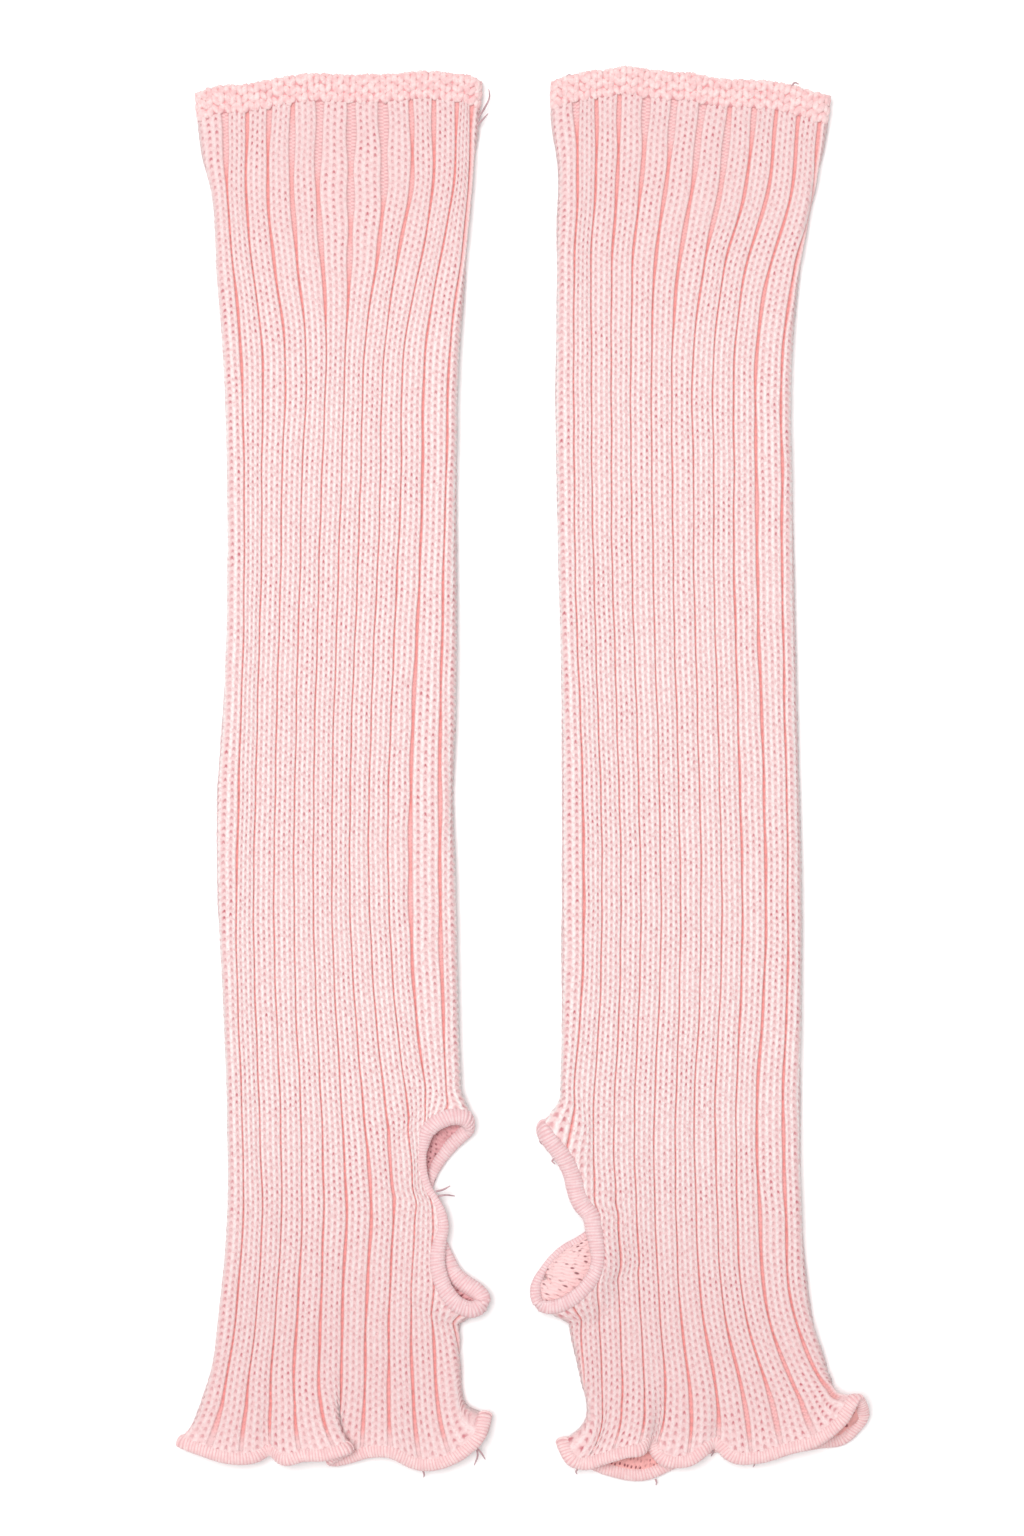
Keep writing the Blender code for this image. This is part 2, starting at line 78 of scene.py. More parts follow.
LEFT = {
    "side": 1, "middle": -64.2, "inside_shade": 0.5,
    "levels": """
    down   outer  inner
    0      46.9   49.2
    9      46.4   48.8
    25     44.2   47.3
    36     41.6   46.5
    64     40.2   44.0
    94     38.1   41.8
    146    36.5   40.7
    215    37.7   40.6
    250    40.0   39.4
    285    39.7   40.8
    318    37.7   41.3
    353    36.4   42.2
    383    36.1   41.4
    407    37.3   41.6
    426    39.4   41.8
    446    42.0   42.2
    460    46.0   43.0
    472    49.5   44.5""",
    "crown": """
    across dip
    0      3.4
    0.04   1.4
    0.1    0.6
    0.2    -0.3
    0.3    0.6
    0.45   1.0
    0.62   0.8
    0.71   2.1
    0.84   4.5
    0.93   5.0
    1      7.6""",
    "hole": (359.5, 423.5),
    "hole_edge": """
    reach  down   height
    46.0   361.4  4.9
    44.8   359.6  6.3
    41.4   358.8  7.1
    36.6   360.0  7.4
    32.6   363.0  7.2
    31.0   367.6  6.6
    30.4   373.6  5.8
    31.1   379.2  5.4
    32.8   384.0  5.2
    35.2   387.6  5.6
    37.0   391.9  5.8
    37.6   396.4  5.8
    36.4   401.4  5.8
    35.5   408.6  6.6
    36.8   414.4  7.0
    39.2   419.2  7.6
    42.8   422.8  7.8
    47.2   424.2  7.4
    50.2   423.0  6.6
    50.8   420.6  5.6
    48.6   418.2  4.8
    44.8   416.0  4.2
    41.0   413.0  3.4
    38.6   408.4  2.4
    35.4   401.2  1.6
    32.8   395.0  1.5
    31.9   387.4  1.5
    32.8   381.2  1.5
    35.2   375.7  1.6
    39.0   370.2  1.9
    43.2   365.8  2.6
    45.4   363.6  3.4""",
    "bottom_of_hole": 18,
    "cut": """
    down   half
    359.5  6.0
    374    8.5
    389    6.5
    410    8.0
    423.5  7.0""",
    # Its share round, then where it lies. Half-way along the front it folds under and over itself.
    "hem": """
    share  reach  down   height
    0      52.6   461.2  5.4
    0.012  50.4   467.6  8.2
    0.030  45.6   472.6  8.4
    0.062  37.0   477.4  7.4
    0.095  29.6   478.4  6.2
    0.145  18.5   473.8  6.8
    0.182  10.5   474.4  4.8
    0.207  4.5    476.4  3.8
    0.222  -0.6   477.4  4.0
    0.232  -1.6   476.2  6.2
    0.242  1.6    474.0  8.0
    0.254  5.2    471.8  9.6
    0.268  3.6    472.2  11.2
    0.292  -2.6   474.0  11.2
    0.320  -10.0  474.4  10.4
    0.355  -18.0  475.9  8.6
    0.374  -22.4  473.4  5.2
    0.393  -27.0  475.4  7.0
    0.425  -35.2  475.8  8.2
    0.465  -45.6  473.0  7.6
    0.500  -53.6  470.4  4.4
    0.525  -47.6  471.4  2.0
    0.575  -36.0  473.2  1.5
    0.655  -20.0  472.4  1.5
    0.735  -4.0   473.4  2.0
    0.800  10.0   472.2  1.5
    0.870  24.0   473.8  1.5
    0.925  36.0   474.4  2.2
    0.965  46.0   472.2  2.2
    0.988  51.2   467.2  3.0
    1      52.6   461.2  5.4""",
    # Reach of the furrows on its front, from the inner fold out; one more runs along the outer fold.
    "furrows": """
    down  f0    f1    f2    f3    f4    f5    f6    f7    f8    f9    f10
    9     47.0  41.8  34.0  26.0  16.5  5.5   -5.2  -14.4 -22.6 -30.2 -38.0
    39    45.6  40.6  33.6  26.2  16.8  5.5   -5.9  -14.8 -23.1 -30.4 -36.8
    64    43.0  36.2  29.6  21.5  14.4  5.0   -4.4  -13.0 -20.8 -28.4 -35.0
    87    40.2  32.0  24.9  17.8  11.0  4.0   -3.1  -10.4 -17.8 -25.6 -32.8
    146   38.0  30.0  22.5  15.5  8.7   2.0   -4.8  -11.5 -18.3 -25.2 -31.2
    318   36.9  27.4  20.4  13.5  6.6   0.0   -6.6  -13.5 -20.4 -27.5 -33.5
    360   38.6  31.4  25.2  17.8  10.2  2.6   -4.5  -11.7 -18.6 -25.8 -31.8
    378   39.0  31.8  26.6  19.4  11.8  3.4   -4.1  -11.4 -18.4 -25.3 -31.6
    390   40.2  33.0  27.4  20.1  12.4  4.0   -3.8  -11.2 -18.3 -24.9 -31.4
    405   40.6  33.6  27.0  19.6  11.8  3.4   -4.2  -11.8 -19.0 -25.6 -32.2
    425   41.0  33.5  26.2  18.6  10.8  2.6   -4.9  -12.9 -20.2 -26.8 -33.8
    457   43.4  34.9  26.6  18.4  10.1  2.0   -6.2  -14.7 -22.8 -30.7 -38.6""",
    "first_furrow": 0,
}

RIGHT = {
    "side": -1, "middle": 54.2, "inside_shade": 0.0,
    "levels": """
    down   outer  inner
    0      50.8   42.9
    12     49.6   43.2
    30     46.3   40.9
    49     42.7   41.3
    78     38.8   41.5
    112    37.5   41.9
    147    38.0   41.4
    216    39.4   39.8
    285    41.0   39.6
    340    40.8   39.8
    383    41.0   40.0
    408    42.2   39.6
    428    44.8   37.4
    446    49.7   33.6
    460    52.5   30.6
    472    55.0   30.6""",
    "crown": """
    across dip
    0      3.4
    0.03   2.3
    0.08   0.9
    0.12   0.0
    0.2    -0.8
    0.27   -2.0
    0.33   -1.1
    0.42   0.0
    0.5    0.3
    0.57   2.0
    0.68   2.7
    0.76   3.0
    0.85   4.4
    0.91   6.1
    1      8.4""",
    "hole": (362.6, 423.0),
    "hole_edge": """
    reach  down   height
    47.2   363.2  4.0
    46.3   364.8  5.9
    44.4   367.4  6.5
    40.7   371.8  6.2
    37.2   378.5  5.4
    35.8   384.3  5.4
    34.2   388.4  5.6
    31.0   392.4  6.0
    30.0   397.0  6.6
    29.2   401.6  7.2
    28.6   406.0  7.8
    29.4   411.4  8.2
    32.6   416.6  8.4
    37.0   420.4  8.2
    41.6   422.8  7.8
    46.0   423.4  7.2
    47.9   422.8  6.9
    49.2   421.0  6.6
    49.9   417.4  5.8
    47.4   411.4  5.0
    43.9   407.0  4.4
    40.0   403.8  3.8
    35.4   401.4  3.2
    31.8   399.0  2.6
    31.0   394.2  2.2
    33.0   386.4  2.0
    38.0   378.2  1.8
    43.8   369.4  1.8
    46.4   365.4  2.2""",
    "bottom_of_hole": 16,
    "cut": """
    down   half
    362.6  4.2
    374    4.8
    388    7.6
    410    8.6
    423    7.0""",
    "hem": """
    share  reach  down   height
    0      41.4   470.6  4.8
    0.012  38.8   475.6  7.4
    0.032  33.8   477.8  7.6
    0.062  27.0   475.9  9.0
    0.100  19.0   473.2  10.6
    0.132  12.8   471.8  10.2
    0.148  10.4   469.6  6.6
    0.160  9.2    472.4  5.8
    0.180  6.4    476.0  7.2
    0.215  -2.4   476.8  7.6
    0.243  -8.0   473.2  7.6
    0.262  -11.8  470.8  5.4
    0.288  -17.6  475.2  6.8
    0.328  -26.0  475.8  7.2
    0.383  -37.0  472.4  8.4
    0.435  -48.2  468.2  10.4
    0.468  -55.4  462.0  11.4
    0.500  -61.8  455.2  8.4
    0.512  -64.0  461.0  4.4
    0.530  -59.6  467.8  2.4
    0.575  -47.6  471.6  1.5
    0.652  -30.0  473.0  1.5
    0.753  -10.0  473.4  1.5
    0.818  3.0    479.0  1.8
    0.864  12.0   482.6  2.2
    0.919  23.0   481.4  2.2
    0.966  33.0   477.2  2.0
    0.988  39.4   473.2  2.4
    1      41.4   470.6  4.8""",
    # The same, but here the further one runs along the inner fold.
    "furrows": """
    down  f1    f2    f3    f4    f5    f6    f7    f8    f9    f10   f11
    9     35.5  28.6  20.6  11.4  1.6   -8.0  -17.2 -25.8 -33.4 -41.0 -48.0
    39    35.0  28.8  21.4  13.1  4.8   -4.3  -13.8 -22.4 -30.0 -37.8 -44.6
    64    36.2  30.4  23.2  16.0  8.2   0.0   -8.6  -15.6 -23.0 -31.0 -39.2
    87    36.3  30.4  23.4  16.6  9.4   2.1   -5.4  -12.5 -19.7 -27.2 -36.0
    146   36.2  30.0  23.4  16.6  9.4   2.4   -4.8  -11.7 -18.7 -26.5 -35.2
    318   33.8  27.3  20.6  13.8  6.9   0.0   -6.9  -14.0 -21.1 -28.9 -36.9
    360   36.7  29.6  22.5  15.6  8.8   1.4   -5.0  -12.1 -19.3 -26.4 -35.5
    375   36.9  29.4  22.4  15.4  8.8   1.4   -5.2  -12.5 -19.5 -26.8 -35.8
    390   35.6  28.2  21.4  14.7  8.4   1.3   -5.6  -13.0 -19.8 -27.5 -36.5
    425   34.6  27.8  20.6  13.6  6.9   -0.3  -7.8  -15.2 -22.3 -30.0 -38.8
    457   31.4  26.0  19.0  11.4  3.9   -4.4  -13.5 -22.6 -31.6 -41.0 -51.0""",
    "first_furrow": 1,
}

WARMERS = {"left": LEFT, "right": RIGHT}


def rows(table):
    """The columns of a table written out under their names, by name."""
    lines = [line.split() for line in table.strip().splitlines()]
    values = np.array(lines[1:], float)
    return {name: values[:, k] for k, name in enumerate(lines[0])}


def smooth_through(places, values, at, closed=False):
    """A smooth curve through the values at these places, read at `at`; a closed one starts over."""
    if closed:
        period = places[-1] - places[0]
        places = np.concatenate([[places[-2] - period], places, [places[1] + period]])
        values = np.concatenate([[values[-2]], values, [values[1]]])
    slopes = np.gradient(values, places)
    if closed:
        places, values, slopes = places[1:-1], values[1:-1], slopes[1:-1]
    at = np.clip(at, places[0], places[-1])
    k = np.clip(np.searchsorted(places, at, side="right") - 1, 0, len(places) - 2)
    span = places[k + 1] - places[k]
    t = (at - places[k]) / span
    rise = values[k + 1] - values[k]
    start, end = slopes[k] * span, slopes[k + 1] * span
    return values[k] + t * (start + t * (3 * rise - 2 * start - end + t * (start + end - 2 * rise)))


def lengths_along(points):
    """How far along the line through these points each one lies."""
    return np.concatenate([[0.0], np.cumsum(np.linalg.norm(np.diff(points, axis=0), axis=1))])


def chord_shares(points):
    """The same, from 0 to 1."""
    along = lengths_along(points)
    return along / along[-1]


def fade(share):
    """1 at 0, easing down to 0 at 1 and beyond."""
    left = 1 - np.clip(share, 0, 1)
    return left * left * (3 - 2 * left)


def unit(vectors):
    return vectors / np.linalg.norm(vectors, axis=-1, keepdims=True)


def edge_line(table, halfway, share, weights=(1.0, 1.0, 1.0)):
    """A closed edge's (reach, down, height), with this row of its table held at a share of 0.5.
    Shares go by the length of the edge, with these weights on its three directions."""
    edge = rows(table)
    points = np.stack([edge["reach"], edge["down"], edge["height"]], axis=1)
    points = np.concatenate([points, points[:1]])
    paced = points * weights
    front, back = chord_shares(paced[: halfway + 1]), chord_shares(paced[halfway:])
    along = np.concatenate([front / 2, 0.5 + back[1:] / 2])
    return [smooth_through(along, points[:, k], share, closed=True) for k in range(3)]


def widths(warmer, down):
    """(outer, inner) distances of the two folds from the middle line."""
    levels = rows(warmer["levels"])
    return [smooth_through(levels["down"], levels[side], down) for side in ("outer", "inner")]


def half_girth(warmer, down):
    outer, inner = widths(warmer, down)
    return outer + inner + (math.pi - 2) * FOLD


def girth(warmer, down):
    return 2 * half_girth(warmer, down)


def flat_loop(outer, inner, from_fold):
    """The front half of a section of the pressed tube, as (reach, height over its middle), read at
    a distance round it from the inner fold."""
    straight = outer + inner - 2 * FOLD
    quarter = math.pi * FOLD / 2
    near = np.clip(from_fold / FOLD, 0, math.pi / 2)
    far = np.clip((from_fold - quarter - straight) / FOLD, 0, math.pi / 2)
    level = np.clip(from_fold - quarter, 0, straight)
    reach = inner - FOLD + FOLD * np.cos(near) - level - FOLD * np.sin(far)
    height = FOLD * np.sin(near) - FOLD * (1 - np.cos(far))
    return reach, height


def narrowed(warmer, down):
    """Half the width that the hole was cut at this distance down, as a share of HOLE_HALF."""
    cut = rows(warmer["cut"])
    return smooth_through(cut["down"], cut["half"], down) / HOLE_HALF


def beyond_hole(warmer, down, from_fold):
    """How far a spot of the cloth lies outside the heel hole as cut, and the heart of the hole's
    rounded end or side that is nearest to it."""
    top, bottom = warmer["hole"]
    heart = np.clip(down, top + HOLE_HALF, bottom - HOLE_HALF)
    return np.hypot(from_fold / narrowed(warmer, down), down - heart) - HOLE_HALF, heart


def pull_of_hole(warmer, down, from_fold, front, lie):
    """How far the hole's stretched edge drags this spot of the cloth: (reach, down, height)."""
    top, bottom = warmer["hole"]
    away, heart = beyond_hole(warmer, down, from_fold)
    angle = np.arctan2(from_fold / narrowed(warmer, down), heart - down)
    length = bottom - top + (math.pi - 2) * HOLE_HALF
    share = (HOLE_HALF * angle + heart - top - HOLE_HALF) / length
    rim_down = heart - HOLE_HALF * np.cos(angle)
    rim_from_fold = HOLE_HALF * np.sin(angle) * narrowed(warmer, rim_down)
    rim_reach, rim_height = flat_loop(*widths(warmer, rim_down), rim_from_fold)
    turn = np.where(front, share / 2, 1 - share / 2)
    hole = warmer["hole_edge"], warmer["bottom_of_hole"]
    to_reach, to_down, to_height = edge_line(*hole, turn, HOLE_WEIGHTS)
    pull = to_reach - rim_reach
    inward = np.clip(-pull / PUSHED_IN, 0, 1)
    under = 1 - (1 - UNDER_HOLE) * (1 - fade((angle - UNDER_FROM) / UNDER_OVER))
    spread = OUTWARD_SPREAD * under + (INWARD_SPREAD - OUTWARD_SPREAD * under) * inward
    drag = fade(away / spread)
    lift = to_height - lie - np.where(front, rim_height, -rim_height)
    return pull * drag, (to_down - rim_down) * drag, lift * fade(away / (LIFT_SPREAD * under))


def middle_of_cloth(warmer, down, round_, wall=WALL):
    """(reach, down, height) of the middle of the cloth at this distance down and share round."""
    down, round_ = np.broadcast_arrays(np.asarray(down, float), np.asarray(round_, float) % 1)
    front = round_ <= 0.5
    side = np.where(front, 1.0, -1.0)
    across = 2 * np.where(front, round_, 1 - round_)
    from_fold = across * half_girth(warmer, down)
    lie = FOLD + wall / 2
    reach, height = flat_loop(*widths(warmer, down), from_fold)
    pull, drop, lift = pull_of_hole(warmer, down, from_fold, front, lie)
    reach, place, height = reach + pull, down + drop, lie + side * height + lift

    crown = rows(warmer["crown"])
    dip = smooth_through(crown["across"], crown["dip"], across)
    place = place + dip * fade(down / CROWN_FADE)

    part = np.clip((down - HEM_AT + FRILL_RISE) / FRILL_RISE, 0, None)
    from_corner = np.minimum(np.minimum(round_, 1 - round_), np.abs(round_ - 0.5))
    rise = part ** FRILL_RISE_POWER
    flare = part ** (FLARE_POWER + CORNER_POWER * fade(from_corner / CORNER))
    end_reach, end_height = flat_loop(*widths(warmer, HEM_AT), across * half_girth(warmer, HEM_AT))
    line = rows(warmer["hem"])
    hem = [smooth_through(line["share"], line[name], round_, closed=True)
           for name in ("reach", "down", "height")]
    reach = reach + flare * (hem[0] - end_reach)
    place = place + rise * (hem[1] - HEM_AT)
    height = height + rise * (hem[2] - lie - side * end_height)
    return np.stack([reach, place, height], axis=-1)


def outward(warmer, down, round_, wall=WALL):
    """The cloth's unit normal, away from the inside of the tube."""
    step = 0.2
    turn = step / girth(warmer, down)
    across = middle_of_cloth(warmer, down, round_ + turn, wall)
    across = across - middle_of_cloth(warmer, down, round_ - turn, wall)
    along = middle_of_cloth(warmer, down + step, round_, wall)
    along = along - middle_of_cloth(warmer, down - step, round_, wall)
    return unit(np.cross(along, across))


def in_world(warmer, points):
    """(reach, down, height) in millimetres as X, Y, Z in metres."""
    reach, down, height = np.moveaxis(np.asarray(points), -1, 0)
    x = warmer["middle"] + warmer["side"] * reach
    return MM * np.stack([x, TOP_AT - down, height], axis=-1)


def turned_to_world(warmer, directions):
    """Directions in the warmer's (reach, down, height) as directions in the world."""
    return directions * (warmer["side"], -1, 1)


RIBS = 23               # round the tube
COURSE = 2.38           # one course of stitches, down the warmer
SHUT_FURROW = 0.12      # a furrow pressed shut, across
OPEN_FURROW = 2.4       # one opened so far that its purl wale shows flat
FURROW_SIDE = 0.12      # the room its steep side takes
RELAXED_RIB = 7.1       # a rib and its furrow, across, where nothing stretches them
FOLD_FURROW = 1.8       # how far under its fold the furrow along it lies
FURROW_SHARE = 0.5      # of any stretch, what goes into opening the furrow
TOP_OPENING = 0.5       # more opening at the top, where the welt holds the tube wide
TOP_REACH = 90.0        # how far down that goes
TOP_SHORT = 0.3         # of this way, over which as much again is added
WANDER = 0.16           # a furrow strays this far to either side
DRIFT_WAVES = (67.0, 29.0)      # lengths of the waves in which it does
OPENING_WAVES = (71.0, 23.0)    # and in which it opens and closes
SETTLING = 8            # rounds that settle the furrows beside the hole
SETTLE_STEP = 2.0       # down, between the spots where they are settled
SETTLE_SMOOTH = 11      # steps a settled furrow is smoothed over
FRILL_OPENING = 1.1     # furrows open no further than this in the frill
FRILL_NARROWS = (1.6, 0.8)      # of FRILL_RISE: how far above the hem that starts, and over how much
UNEVEN_OPENING = 0.5    # of its opening, how much a furrow opens and closes
# Columns of the mesh across a rib, as shares of it: the furrow's middle, the foot and the top of
# its side, then the ridges between the wales and the hollows down the middle of them.
SHARES_FRONT = (0, 0.05, 0.10, 0.16, 0.273, 0.387, 0.5, 0.613, 0.727, 0.84, 0.90, 0.95)
SHARES_BACK = (0, 0.12, 0.387, 0.613, 0.88)
SHARES_INSIDE = (0, 0.5)
# The same for the furrow's middle, foot and top, then the top, foot and middle of the next one
STATIONS = (0, 0.05, 0.10, 0.90, 0.95, 1.0)
BACK_RIBS = 12          # of all the ribs, those past the front's last furrow
FINE_RIBS = 12          # counted from the inner fold, the ribs of the front and round the outer fold
TUBE_FROM = 7.6         # down, hidden under the welt
TUBE_TO = HEM_AT - 0.3  # inside the overlock
CUT_AT = 0.5            # outside the hole as cut, inside its overlock
THIN_WITHIN = 3.4       # of such an edge, where the cloth is pressed thin by its overlock
PLAIN_WITHIN = 9.0      # of the hem, where its ribs die out
RIM_THIN = 0.4          # of the cloth's thickness, what is left at the rim of the hole
HEM_THINNED = 0.3       # of it, what is lost at the hem
LEAST_RELIEF = 0.15     # of the relief, what is left at either edge
INSIDE_COURSES = 1.25   # between rows of the mesh inside the tube, where the outside has 0.5
HOLE_STRETCH = 3.2      # the hole is taken as this much longer than wide, to pair its two rims


def wobble(down, lengths, seed):
    """Smooth unevenness down every furrow from 0 to 23, up to 1 either way, from waves this long."""
    chance = np.random.default_rng(seed)
    phase = chance.uniform(0, 2 * math.pi, (RIBS, len(lengths)))
    stretch = chance.uniform(0.8, 1.25, (RIBS, len(lengths)))
    waves = sum(np.sin(2 * math.pi * np.asarray(down) * stretch[:, k, None] / long + phase[:, k, None])
                for k, long in enumerate(lengths)) / len(lengths)
    return np.concatenate([waves, waves[:1]])


def settled(warmer, reach_of):
    """How much further round from the inner fold the cloth under a furrow comes from, at every
    SETTLE_STEP down, because the hole's edge drags it. reach_of is the furrow's (downs, reaches)."""
    down = np.arange(0, HEM_AT + SETTLE_STEP, SETTLE_STEP)
    outer, inner = widths(warmer, down)
    reach = smooth_through(*reach_of, down)
    plain = inner - FOLD - reach + math.pi * FOLD / 2
    from_fold = plain
    for _ in range(SETTLING):
        away, _ = beyond_hole(warmer, down, from_fold)
        pull, _, _ = pull_of_hole(warmer, down, from_fold, True, 0.0)
        now = flat_loop(outer, inner, from_fold)[0] + pull
        from_fold = from_fold + 0.5 * (now - reach) * np.clip(away / 2, 0, 1)
    window = np.hanning(SETTLE_SMOOTH + 2)
    return down, np.convolve(from_fold - plain, window / window.sum(), mode="same")


def furrow_shares(warmer, down):
    """Shares round the tube of furrows 0 to 23 at these distances down; 23 is 0 once round."""
    table = rows(warmer["furrows"])
    down = np.clip(down, table["down"][0], table["down"][-1])
    _, inner = widths(warmer, down)
    seen = []
    for name in list(table)[1:]:
        line = table["down"], table[name]
        from_fold = inner - FOLD - smooth_through(*line, down) + math.pi * FOLD / 2
        from_fold = from_fold + np.interp(down, *settled(warmer, line))
        seen.append(from_fold / girth(warmer, down))
    under = FOLD_FURROW / girth(warmer, down)
    front = [-under, *seen] if warmer["first_furrow"] else [*seen, 0.5 + under]
    back = [front[-1] + (1 + front[0] - front[-1]) * k / BACK_RIBS
            for k in range(1, BACK_RIBS + 1)]
    drift = WANDER * wobble(down, DRIFT_WAVES, 5) / girth(warmer, down)
    return np.stack([*front, *back]) + drift


def knit_grid(warmer, down, shares_of_rib):
    """Of every column at these distances down: its share round, its rib coordinate, and how far the
    furrow nearest to it is opened, from 0 to 1."""
    furrow = furrow_shares(warmer, down)
    whole = girth(warmer, down)
    pitch = np.diff(furrow, axis=0) * whole
    pitch = np.concatenate([pitch, pitch[:1]])
    around = (np.roll(pitch[:-1], 1, axis=0) + pitch[:-1]) / 2
    opening = SHUT_FURROW + FURROW_SHARE * np.clip(around - RELAXED_RIB, 0, None)
    opening = opening + TOP_OPENING * (fade(down / TOP_REACH) + fade(down / (TOP_SHORT * TOP_REACH)))
    above, over = FRILL_RISE * FRILL_NARROWS[0], FRILL_RISE * FRILL_NARROWS[1]
    in_frill = 1 - fade((down - HEM_AT + above) / over)
    opening = opening - in_frill * np.clip(opening - FRILL_OPENING, 0, None)
    opening = opening * (1 + UNEVEN_OPENING * wobble(down, OPENING_WAVES, 8)[:-1])
    opening = np.concatenate([opening, opening[:1]])
    columns, knit, opened = [], [], []
    for rib in range(RIBS):
        own = pitch[rib]
        foot, far_foot = opening[rib] / 2, own - opening[rib + 1] / 2
        stations = np.stack([0 * own, foot, foot + FURROW_SIDE, far_foot - FURROW_SIDE, far_foot, own])
        for share in shares_of_rib(rib):
            k = np.searchsorted(STATIONS, share, side="right") - 1
            part = (share - STATIONS[k]) / (STATIONS[k + 1] - STATIONS[k])
            across = stations[k] * (1 - part) + stations[k + 1] * part
            columns.append(furrow[rib] + across / whole)
            knit.append(rib + share)
            opened.append(opening[rib if share < 0.5 else rib + 1])
    opened = (np.stack(opened, axis=1) - SHUT_FURROW) / (OPEN_FURROW - SHUT_FURROW)
    return np.stack(columns, axis=1), np.array(knit), np.clip(opened, 0, 1)


def quads_between(here, ahead):
    """The faces between closed rows of points and the rows that follow them."""
    quads = np.stack([here, ahead, np.roll(ahead, -1, axis=1), np.roll(here, -1, axis=1)], axis=-1)
    return quads.reshape(-1, 4)


def cut_grid(warmer, down, columns):
    """The faces of a grid round the tube, but for those in the heel hole, and how far outside that
    hole each of its points lies."""
    high, wide = columns.shape
    turn = columns % 1
    from_fold = 2 * np.where(turn <= 0.5, turn, 1 - turn) * half_girth(warmer, down)[:, None]
    away, _ = beyond_hole(warmer, down[:, None], from_fold)
    index = np.arange(high * wide).reshape(high, wide)
    quads = quads_between(index[:-1], index[1:])
    kept = np.mean(away.ravel()[quads], axis=1) > CUT_AT
    return quads[kept], away


def loops_of(quads):
    """The closed boundary loops of these faces, each a list of points in order."""
    edges = np.concatenate([quads[:, [k, (k + 1) % 4]] for k in range(4)])
    there = set(map(tuple, edges))
    after = {a: b for a, b in there if (b, a) not in there}
    loops = []
    while after:
        at = next(iter(after))
        loop = []
        while at in after:
            loop.append(at)
            at = after.pop(at)
        loops.append(loop)
    return loops


def zipped(one, other, place):
    """Triangles between two loops that run side by side. place gives each point's turn, 0 to 1."""
    def ordered(loop):
        turns = place[loop]
        if np.sum(np.sin(2 * math.pi * np.diff(turns))) < 0:
            loop, turns = loop[::-1], turns[::-1]
        first = int(np.argmin(turns))
        loop = list(loop[first:]) + list(loop[:first])
        turns = np.maximum.accumulate(np.concatenate([turns[first:], turns[:first]]))
        return loop + loop[:1], np.append(turns, turns[0] + 1)
    (one, one_at), (other, other_at) = ordered(list(one)), ordered(list(other))
    faces, i, j = [], 0, 0
    while i < len(one) - 1 or j < len(other) - 1:
        if j == len(other) - 1 or (i < len(one) - 1 and one_at[i + 1] <= other_at[j + 1]):
            faces.append((one[i + 1], one[i], other[j]))
            i += 1
        else:
            faces.append((other[j], other[j + 1], one[i]))
            j += 1
    return faces


def placed(name, data):
    """A new object with this data, in the scene."""
    made = bpy.data.objects.new(name, data)
    bpy.context.collection.objects.link(made)
    return made


def new_mesh(name, points, faces):
    """An object of these points, in metres, with every face of its closed shape turned outwards."""
    mesh = bpy.data.meshes.new(name)
    mesh.from_pydata(points.tolist(), [], [list(map(int, face)) for face in faces])
    shape = bmesh.new()
    shape.from_mesh(mesh)
    bmesh.ops.recalc_face_normals(shape, faces=shape.faces)
    shape.to_mesh(mesh)
    shape.free()
    mesh.shade_smooth()
    return placed(name, mesh)


def keep_number(mesh, name, values, kind="FLOAT", field="value"):
    """Stores one value, or one vector, for each point of the mesh."""
    layer = mesh.attributes.new(name, kind, "POINT")
    layer.data.foreach_set(field, np.ascontiguousarray(values, np.float32).ravel())


def knit_uv(mesh, rib, course, round_at):
    """The UV map that patterns follow: rib number and its share across, course number down. A face
    over the end of the count goes on past it instead of back to its start."""
    corner = np.empty(len(mesh.loops), np.int32)
    mesh.loops.foreach_get("vertex_index", corner)
    first, size = np.empty(len(mesh.polygons), np.int32), np.empty(len(mesh.polygons), np.int32)
    mesh.polygons.foreach_get("loop_start", first)
    mesh.polygons.foreach_get("loop_total", size)
    across = rib[corner]
    highest = np.repeat(np.maximum.reduceat(across, first), size)
    across = np.where(highest - across > round_at / 2, across + round_at, across)
    layer = mesh.uv_layers.new(name="Knit")
    layer.uv.foreach_set("vector", np.stack([across, course[corner]], axis=1).astype(np.float32).ravel())


